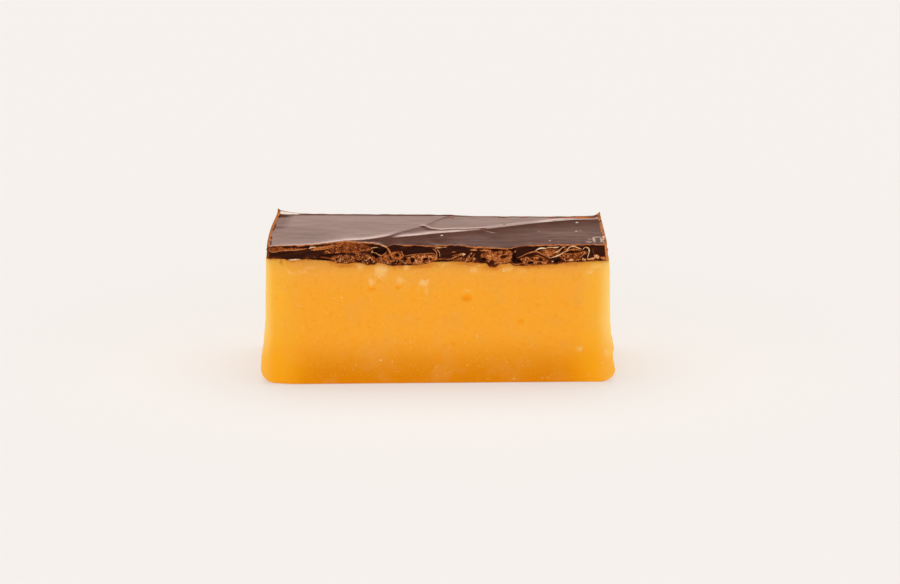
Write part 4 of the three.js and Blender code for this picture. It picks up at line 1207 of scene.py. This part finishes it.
def join_skins(skins):
    """Puts several skins into one list of points and faces."""
    starts = np.cumsum([0] + [len(points) for points, _, _ in skins])
    points = np.concatenate([points for points, _, _ in skins])
    faces = [[start + k for k in face] for (_, part, _), start in zip(skins, starts) for face in part]
    return points, faces, np.concatenate([shade for _, _, shade in skins])


def torn_marks(shade, grit):
    """The marks of a piece that is torn chocolate all over."""
    return {"tone": shade, "grit": np.full(len(shade), grit), "torn": np.ones(len(shade))}


def build_ribbons():
    """All ribbons as one piece, stretched to the slab's real ends as the wall under them is."""
    points, faces, shade = join_skins([ribbon_skin(*ribbon, seed=200 + k) for k, ribbon in enumerate(RIBBONS)])
    points[:, 0] = stretch(points[:, 0], points[:, 1], 1, lambda end: 0.5 * end["lean"])
    return make_piece("ribbons", points, faces, torn_marks(shade, RIBBON_GRIT))


ribbons = build_ribbons()
print("ribbons:", len(ribbons.data.polygons), "faces")

# %% [markdown]
# ## Crumbs
#
# The knife also left crumbs: brown ones in two heaps under the bite and along the lower edge, and tiny pale ones
# of sugar pressed into the fudge. A crumb is a ball of few faces, dented at random. All crumbs of one kind are
# made at once, as one array, and are one piece.

# %% Build the crumbs
CRUMB_RINGS = 5
CRUMB_SIDES = 6
CRUMB_GRIT = 0.6
PALE_CRUMBS = {"share": 0.3, "tone": (0.68, 0.84)}
DARK_CRUMBS = {"tone": (0.1, 0.5)}
HEAPS = [  # (x, z, half width, half height, tilt, count, mean radius)
    (-21.9, 30.3, 2.7, 0.85, 0, 150, 0.15), (-16.9, 30.4, 2.3, 1.0, -14, 140, 0.15),
    (-8.9, 29.7, 1.6, 0.5, -8, 40, 0.14), (13.5, 29.2, 2.6, 0.3, 0, 16, 0.12), (22.5, 28.9, 3.4, 0.25, 0, 22, 0.11),
    (32.0, 29.7, 4.0, 0.2, 5, 30, 0.11), (7.0, 30.0, 2.8, 0.35, 0, 30, 0.11), (-3.4, 29.1, 3.4, 0.25, 0, 24, 0.12),
    (-12.2, 29.6, 1.2, 0.8, 0, 26, 0.12),
]


def ball():
    """A ball as rings between two poles: radius sin a at height cos a."""
    a = np.linspace(0, np.pi, CRUMB_RINGS + 1)[1:-1]
    b = np.linspace(0, 2 * np.pi, CRUMB_SIDES, endpoint=False)
    rings = np.stack([np.outer(np.sin(a), f) for f in (np.cos(b), np.sin(b))] + [np.outer(np.cos(a), 1 + 0 * b)], -1)
    points = np.concatenate([rings.reshape(-1, 3), [(0, 0, 1), (0, 0, -1)]])
    ids = np.arange(rings.shape[0] * CRUMB_SIDES).reshape(-1, CRUMB_SIDES)
    top, bottom = ids.size, ids.size + 1
    caps = [[top, int(k), int(n)] for k, n in zip(ids[0], np.roll(ids[0], -1))]
    caps += [[bottom, int(n), int(k)] for k, n in zip(ids[-1], np.roll(ids[-1], -1))]
    return points, ring_faces(ids[::-1]).tolist() + caps


def crumb_skin(places, radii, shades, seed):
    """Copies of the ball at places: each is squashed and dented by its own random amounts."""
    chance = np.random.default_rng(seed)
    points, faces = ball()
    squash = chance.uniform(0.65, 1.25, (len(places), 1, 3))
    dents = chance.uniform(0.78, 1.15, (len(places), len(points), 1))
    copies = places[:, None] + radii[:, None, None] * squash * dents * points
    starts = np.arange(len(places)) * len(points)
    all_faces = [[int(start) + k for k in face] for start in starts for face in faces]
    return copies.reshape(-1, 3), all_faces, np.repeat(shades, len(points))


def heap_of_crumbs(heap, seed):
    """Crumbs spread evenly over a tilted ellipse of the wall, less those that would hang below its edge."""
    px, pz, wide, tall, tilt, count, radius = heap
    chance = np.random.default_rng(seed)
    angle, reach = chance.uniform(0, 2 * np.pi, count), np.sqrt(chance.uniform(0, 1, count))
    a, b = wide * reach * np.cos(angle), tall * reach * np.sin(angle)
    turn = math.radians(tilt)
    x = px + a * math.cos(turn) - b * math.sin(turn)
    seen = pz + a * math.sin(turn) + b * math.cos(turn)
    y, z = plain_wall(x, wall_level(x, seen))
    y = y - paint(x, seen)[1] - chance.uniform(-0.05, 0.12, count)
    pale = chance.random(count) < PALE_CRUMBS["share"]
    pale_shades = chance.uniform(*PALE_CRUMBS["tone"], count)
    shades = np.where(pale, pale_shades, chance.uniform(*DARK_CRUMBS["tone"], count))
    radii = radius * chance.uniform(0.6, 1.4, count)
    kept = seen > lower_z(x)
    return crumb_skin(np.stack([x, y, z], -1)[kept], radii[kept], shades[kept], seed + 1)


def build_crumbs():
    """All heaps as one piece."""
    points, faces, shade = join_skins([heap_of_crumbs(heap, 300 + 5 * k) for k, heap in enumerate(HEAPS)])
    return make_piece("crumbs", points, faces, torn_marks(shade, CRUMB_GRIT))


crumbs = build_crumbs()
print("crumbs:", len(crumbs.data.polygons), "faces")

# %% [markdown]
# Most sugar specks lie anywhere on the front, and the rest in the small groups that the photo shows. Each sits
# with its middle a little inside the fudge, so only its cap is seen.

# %% Build the sugar specks
SPECK_COUNT = 70
SPECK_AREA = {"wide": 38, "low": 3, "tall": 26}
SPECK_RADIUS = 0.11
SPECK_SUNK = 0.35  # of its radius
SPECK_CLUSTERS = [  # (x, z, half width, half height, count)
    (33.6, 7.9, 0.9, 0.5, 7), (-13.3, 5.7, 0.7, 0.4, 5), (25.9, 1.4, 1.2, 0.3, 6), (18.3, 1.1, 0.5, 0.2, 3),
    (-1.6, 8.8, 0.4, 0.3, 3), (-24.2, 20.8, 0.4, 0.3, 3), (9.7, 11.4, 0.4, 0.3, 3), (36.6, 2.0, 0.6, 0.3, 4),
    (37.5, 28.1, 0.5, 0.15, 4), (1.1, 29.6, 0.5, 0.2, 3), (6.5, 28.6, 0.5, 0.3, 4), (10.3, 28.7, 0.5, 0.2, 4),
    (8.1, 27.6, 0.4, 0.2, 3), (16.2, 27.6, 0.5, 0.3, 4), (-13.0, 27.2, 1.2, 1.2, 10), (-2.9, 24.8, 0.9, 0.9, 7),
    (39.8, 6.5, 0.8, 3.0, 6),
]


def fudge_front(x, z):
    """The y of the block's front at a place seen from the front: the same sum as the block's form."""
    return front_y(x) - bulge(x, z) - creep(x / (HALF + 1), z)


def build_specks():
    """Balls whose middles are drawn evenly over the front, and from a normal curve inside each group."""
    chance = np.random.default_rng(400)
    x = [chance.uniform(-SPECK_AREA["wide"], SPECK_AREA["wide"], SPECK_COUNT)]
    z = [SPECK_AREA["low"] + SPECK_AREA["tall"] * chance.random(SPECK_COUNT) ** 1.2]
    for px, pz, wide, tall, count in SPECK_CLUSTERS:
        x.append(px + wide * np.clip(chance.normal(0, 0.6, count), -1, 1))
        z.append(pz + tall * np.clip(chance.normal(0, 0.6, count), -1, 1))
    x, z = np.concatenate(x), np.concatenate(z)
    radii = SPECK_RADIUS * chance.uniform(0.4, 1.3, len(x)) ** 1.5
    places = np.stack([x, fudge_front(x, z) + SPECK_SUNK * radii, z], -1)
    points, faces, shade = crumb_skin(places, radii, chance.uniform(0.3, 1.0, len(x)), 401)
    return make_piece("sugar_specks", points, faces, {"tone": shade})


specks = build_specks()
print("specks:", len(specks.data.polygons), "faces")

# %% [markdown]
# ## The fudge's finish
#
# Fudge is sugar crystals in fat: matt, and a little translucent, so light enters it and leaves again a
# millimetre or two away, redder than it came. That is subsurface scattering. The colour is deeper at the foot,
# partly the fudge's own and partly painted shade near the floor, and a painted shade darkens the band right
# under the chocolate. A painted glow makes the ends paler, where light would come through from the side, and
# warms the low front corners. The pale rim along the ends' edges is painted glow too; it belongs to the cut
# front, so it fades out behind it. Each of these is a thin layer of colour over the last one: first what
# changes with the height, then a mottle of three sizes, then the ends, and last the marks that were painted on
# the mesh.

# %% Make the fudge material
# Some of these colours are painted light: the deep colour is partly painted shade at the foot, dull is painted  shade
# under the chocolate, the bubbles' colour is painted shade, the brown of the stains also holds painted  shade, and the
# colours of the ends, the low front corners and the end edges are painted glow.
FUDGE_COLOURS = {
    "body": (0.95, 0.395, 0.027), "deep": (0.76, 0.25, 0.000), "light": (0.84, 0.40, 0.085),
    "dull": (0.62, 0.25, 0.045), "pale": (1.0, 0.70, 0.28), "edge": (1.0, 0.58, 0.055),
    "low_corner_glow": (1.0, 0.40, 0.001), "rim": (1.0, 0.74, 0.28), "stain": (0.58, 0.13, 0.008),
    "pit": (1.0, 0.35, 0.001),
}
FUDGE_SCATTER = {
    "Subsurface Weight": 0.35, "Subsurface Scale": 0.0022, "Subsurface Radius": (1.0, 0.42, 0.10),
}
SUGAR_COLOURS = {"dull": (0.93, 0.45, 0.08), "bright": (1.0, 0.80, 0.48)}
SUGAR_SCATTER = {"Subsurface Weight": 0.2, "Subsurface Scale": 0.0005, "Subsurface Radius": (1.0, 0.6, 0.3)}
MATT = 0.04  # the specular level of fudge and of broken chocolate


def place_in_mm(start):
    """The Object coordinate in millimetres, whole and as x, y and z."""
    place = start.node("TexCoord", output="Object")
    place = start.node("VectorMath", {"operation": "SCALE"}, {0: place, "Scale": 1 / MM})
    parts = start.node("SeparateXYZ", sockets={0: place}).socket.node
    return place, [Wire(start.tree, parts.outputs[axis]) for axis in "XYZ"]


def mottle(place, size, detail=2.0):
    """Noise from 0 to 1 whose blotches are about `size` millimetres across."""
    return place.node("TexNoise", {}, {"Vector": place, "Scale": 1 / size, "Detail": detail})


def attribute(start, name):
    """One of the marks that the mesh carries."""
    return start.node("Attribute", {"attribute_name": name}, output="Fac")


def finish_of(start, colour, roughness, height, strength, deep, constants, settings=None):
    """A Principled shader with a bump, whose height of 1 is `deep` millimetres."""
    bump = start.node("Bump", {}, {"Strength": strength, "Distance": deep * MM, "Height": height})
    varying = {"Base Color": colour, "Roughness": roughness, "Normal": bump}
    return start.node("BsdfPrincipled", settings, {**varying, **constants})


def fudge_material():
    """The body's colour under thin layers of the others. The share of each is an s-curve of place or of noise."""
    material, start = new_material("orange_fudge")
    place, (x, y, z) = place_in_mm(start)
    side = start.math("ABSOLUTE", x)
    near_front = (y - x * (FRONT_SKEW / HALF)).ease(-13.8, -16.2)
    low_corners = side.ease(26.0, 40.0) * z.ease(17.0, 4.0)
    # the front's end edges, where a paler painted glow goes
    rims = start.math("MAXIMUM", x.ease(37.0, 42.0), x.ease(-38.4, -41.8)) * near_front
    layers = [
        # deeper towards the foot: partly the fudge's own colour, partly painted shade near the floor
        ("deep", z.ease(13.0, 1.0)),
        ("light", z.ease(21.0, 31.0) * 0.55),
        # painted shade: a darker, duller band right under the chocolate's overhang
        ("dull", z.ease(26.5, 30.5) * 0.55),
        ("light", mottle(place, 5.0).ease(0.45, 0.75) * 0.25),
        ("deep", mottle(place, 1.1).ease(0.5, 0.8) * 0.22),
        ("pale", mottle(place, 0.4).ease(0.58, 0.74) * 0.18),
        # painted glow: paler towards both ends, where light would come through the sides
        ("edge", side.ease(31.0, 41.0) * 0.45),
        # painted glow at the low front corners
        ("low_corner_glow", low_corners * near_front * 0.7),
        # painted glow and highlight along the front's end edges
        ("rim", rims * (0.2 + 0.65 * z.ease(5.0, 15.0))),
        # brown stains and painted shade under the torn chocolate
        ("stain", attribute(start, "stain") * 0.8),
        # painted shade inside the opened bubbles
        ("pit", attribute(start, "pit") * 0.6),
        ("pale", attribute(start, "pale") * (0.3 + 0.75 * mottle(place, 0.5))),
    ]
    colour = FUDGE_COLOURS["body"]
    for name, share in layers:
        colour = share.mix(colour, FUDGE_COLOURS[name])
    roughness = 0.5 + 0.2 * mottle(place, 0.8)
    height = mottle(place, 2.4) * 0.5 + mottle(place, 0.5) * 0.35 + mottle(place, 0.16) * 0.15
    constants = {"Specular IOR Level": MATT, **FUDGE_SCATTER}
    settings = {"subsurface_method": "RANDOM_WALK"}
    finish_material(start, finish_of(start, colour, roughness, height, 0.5, 0.12, constants, settings))
    return material


def speck_material():
    """Each speck's own tone chooses between the fudge's colour and that of clear sugar."""
    material, start = new_material("sugar")
    place, _ = place_in_mm(start)
    colour = attribute(start, "tone").mix(SUGAR_COLOURS["dull"], SUGAR_COLOURS["bright"])
    roughness = 0.35 + 0.2 * mottle(place, 0.2)
    finish_material(start, finish_of(start, colour, roughness, mottle(place, 0.1), 0.4, 0.05, SUGAR_SCATTER))
    return material


fudge.data.materials.append(fudge_material())
specks.data.materials.append(speck_material())
print("fudge material:", len(fudge.data.materials[0].node_tree.nodes), "nodes")

# %% [markdown]
# ## The chocolate's finish
#
# Poured chocolate is a dark brown with a soft gloss. Where it tore, it is matt and light, because the broken fat
# crystals scatter the light. One ramp turns the tone that was painted into a colour, and the `torn` attribute
# chooses between both finishes.

# %% Make the chocolate material
POURED_COLOURS = {"dark": (0.088, 0.029, 0.017), "light": (0.125, 0.045, 0.028)}
GLOSS = 0.5  # the specular level of poured chocolate
STREAK_STRETCH = (0.12, 1.0, 1.0)  # a small scale along x makes long streaks
GRAIN_SIZE = 0.45  # mm
TONE_SCALE = 0.85  # so that a tone above 1 can be paler than cream
TORN_RAMP = [
    (0.0, (0.022, 0.0045, 0.0018)), (0.2, (0.085, 0.017, 0.004)), (0.38, (0.30, 0.070, 0.013)),
    (0.52, (0.47, 0.138, 0.033)), (0.66, (0.62, 0.24, 0.080)), (0.85, (0.86, 0.60, 0.34)), (1.0, (0.94, 0.85, 0.78)),
]


def poured_finish(start, place):
    """Two close browns in patches and streaks, glossy, tilted by the mesh's lean and by faint swirls."""
    streaks = start.node("Mapping", {}, {"Vector": place, "Scale": STREAK_STRETCH})
    colour = mottle(place, 6.0).ease(0.35, 0.7).mix(POURED_COLOURS["dark"], POURED_COLOURS["light"])
    colour = (mottle(streaks, 0.9).ease(0.55, 0.75) * 0.2).mix(colour, POURED_COLOURS["light"])
    swirls = mottle(streaks, 1.6) * 0.007 + mottle(place, 0.3) * 0.002
    height = attribute(start, "lean") + swirls
    roughness = 0.12 + 0.05 * mottle(place, 3.0)
    return finish_of(start, colour, roughness, height, 1.0, 1.0, {"Specular IOR Level": GLOSS})


def broken_finish(start, place):
    """The painted tone, speckled where there is grit, looked up in the ramp: matt, with a crumbly bump."""
    grain = start.node("TexVoronoi", {"feature": "F1"}, {"Vector": place, "Scale": 1 / GRAIN_SIZE})
    grit = attribute(start, "grit")
    speckle = (mottle(place, 0.3).ease(0.35, 0.65) - 0.5) * 0.42 - (grain - 0.32) * 0.45
    tone = attribute(start, "tone") + grit * speckle
    colour = start.node("ValToRGB", {"stops": TORN_RAMP}, {0: tone * TONE_SCALE})
    height = mottle(place, 0.25, 3.0) - grain * grit
    return finish_of(start, colour, 0.45 + 0.25 * tone, height, 0.6, 0.1, {"Specular IOR Level": MATT})


def chocolate_material():
    """The poured finish, and the broken one where the mark `torn` says so."""
    material, start = new_material("dark_chocolate")
    place, _ = place_in_mm(start)
    poured, broken = poured_finish(start, place), broken_finish(start, place)
    finish_material(start, start.node("MixShader", sockets={0: attribute(start, "torn"), 1: poured, 2: broken}))
    return material


dark_chocolate = chocolate_material()
for piece in (chocolate, ribbons, crumbs):
    piece.data.materials.append(dark_chocolate)
print("chocolate material:", len(dark_chocolate.node_tree.nodes), "nodes")

# %% [markdown]
# ## The size
#
# The imported model's box was kept at the start. It is set beside the box of what was made, and how far the box
# grew is printed.

# %% Print how the box grew
boxes = {"cad": [list(corner) for corner in CAD_BOX], "visual": [list(corner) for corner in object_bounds()]}
grown = [round((v - c) / MM, 3) for c, v in zip(sum(boxes["cad"], []), sum(boxes["visual"], []))]
print("visual box less CAD box, in mm:", grown)
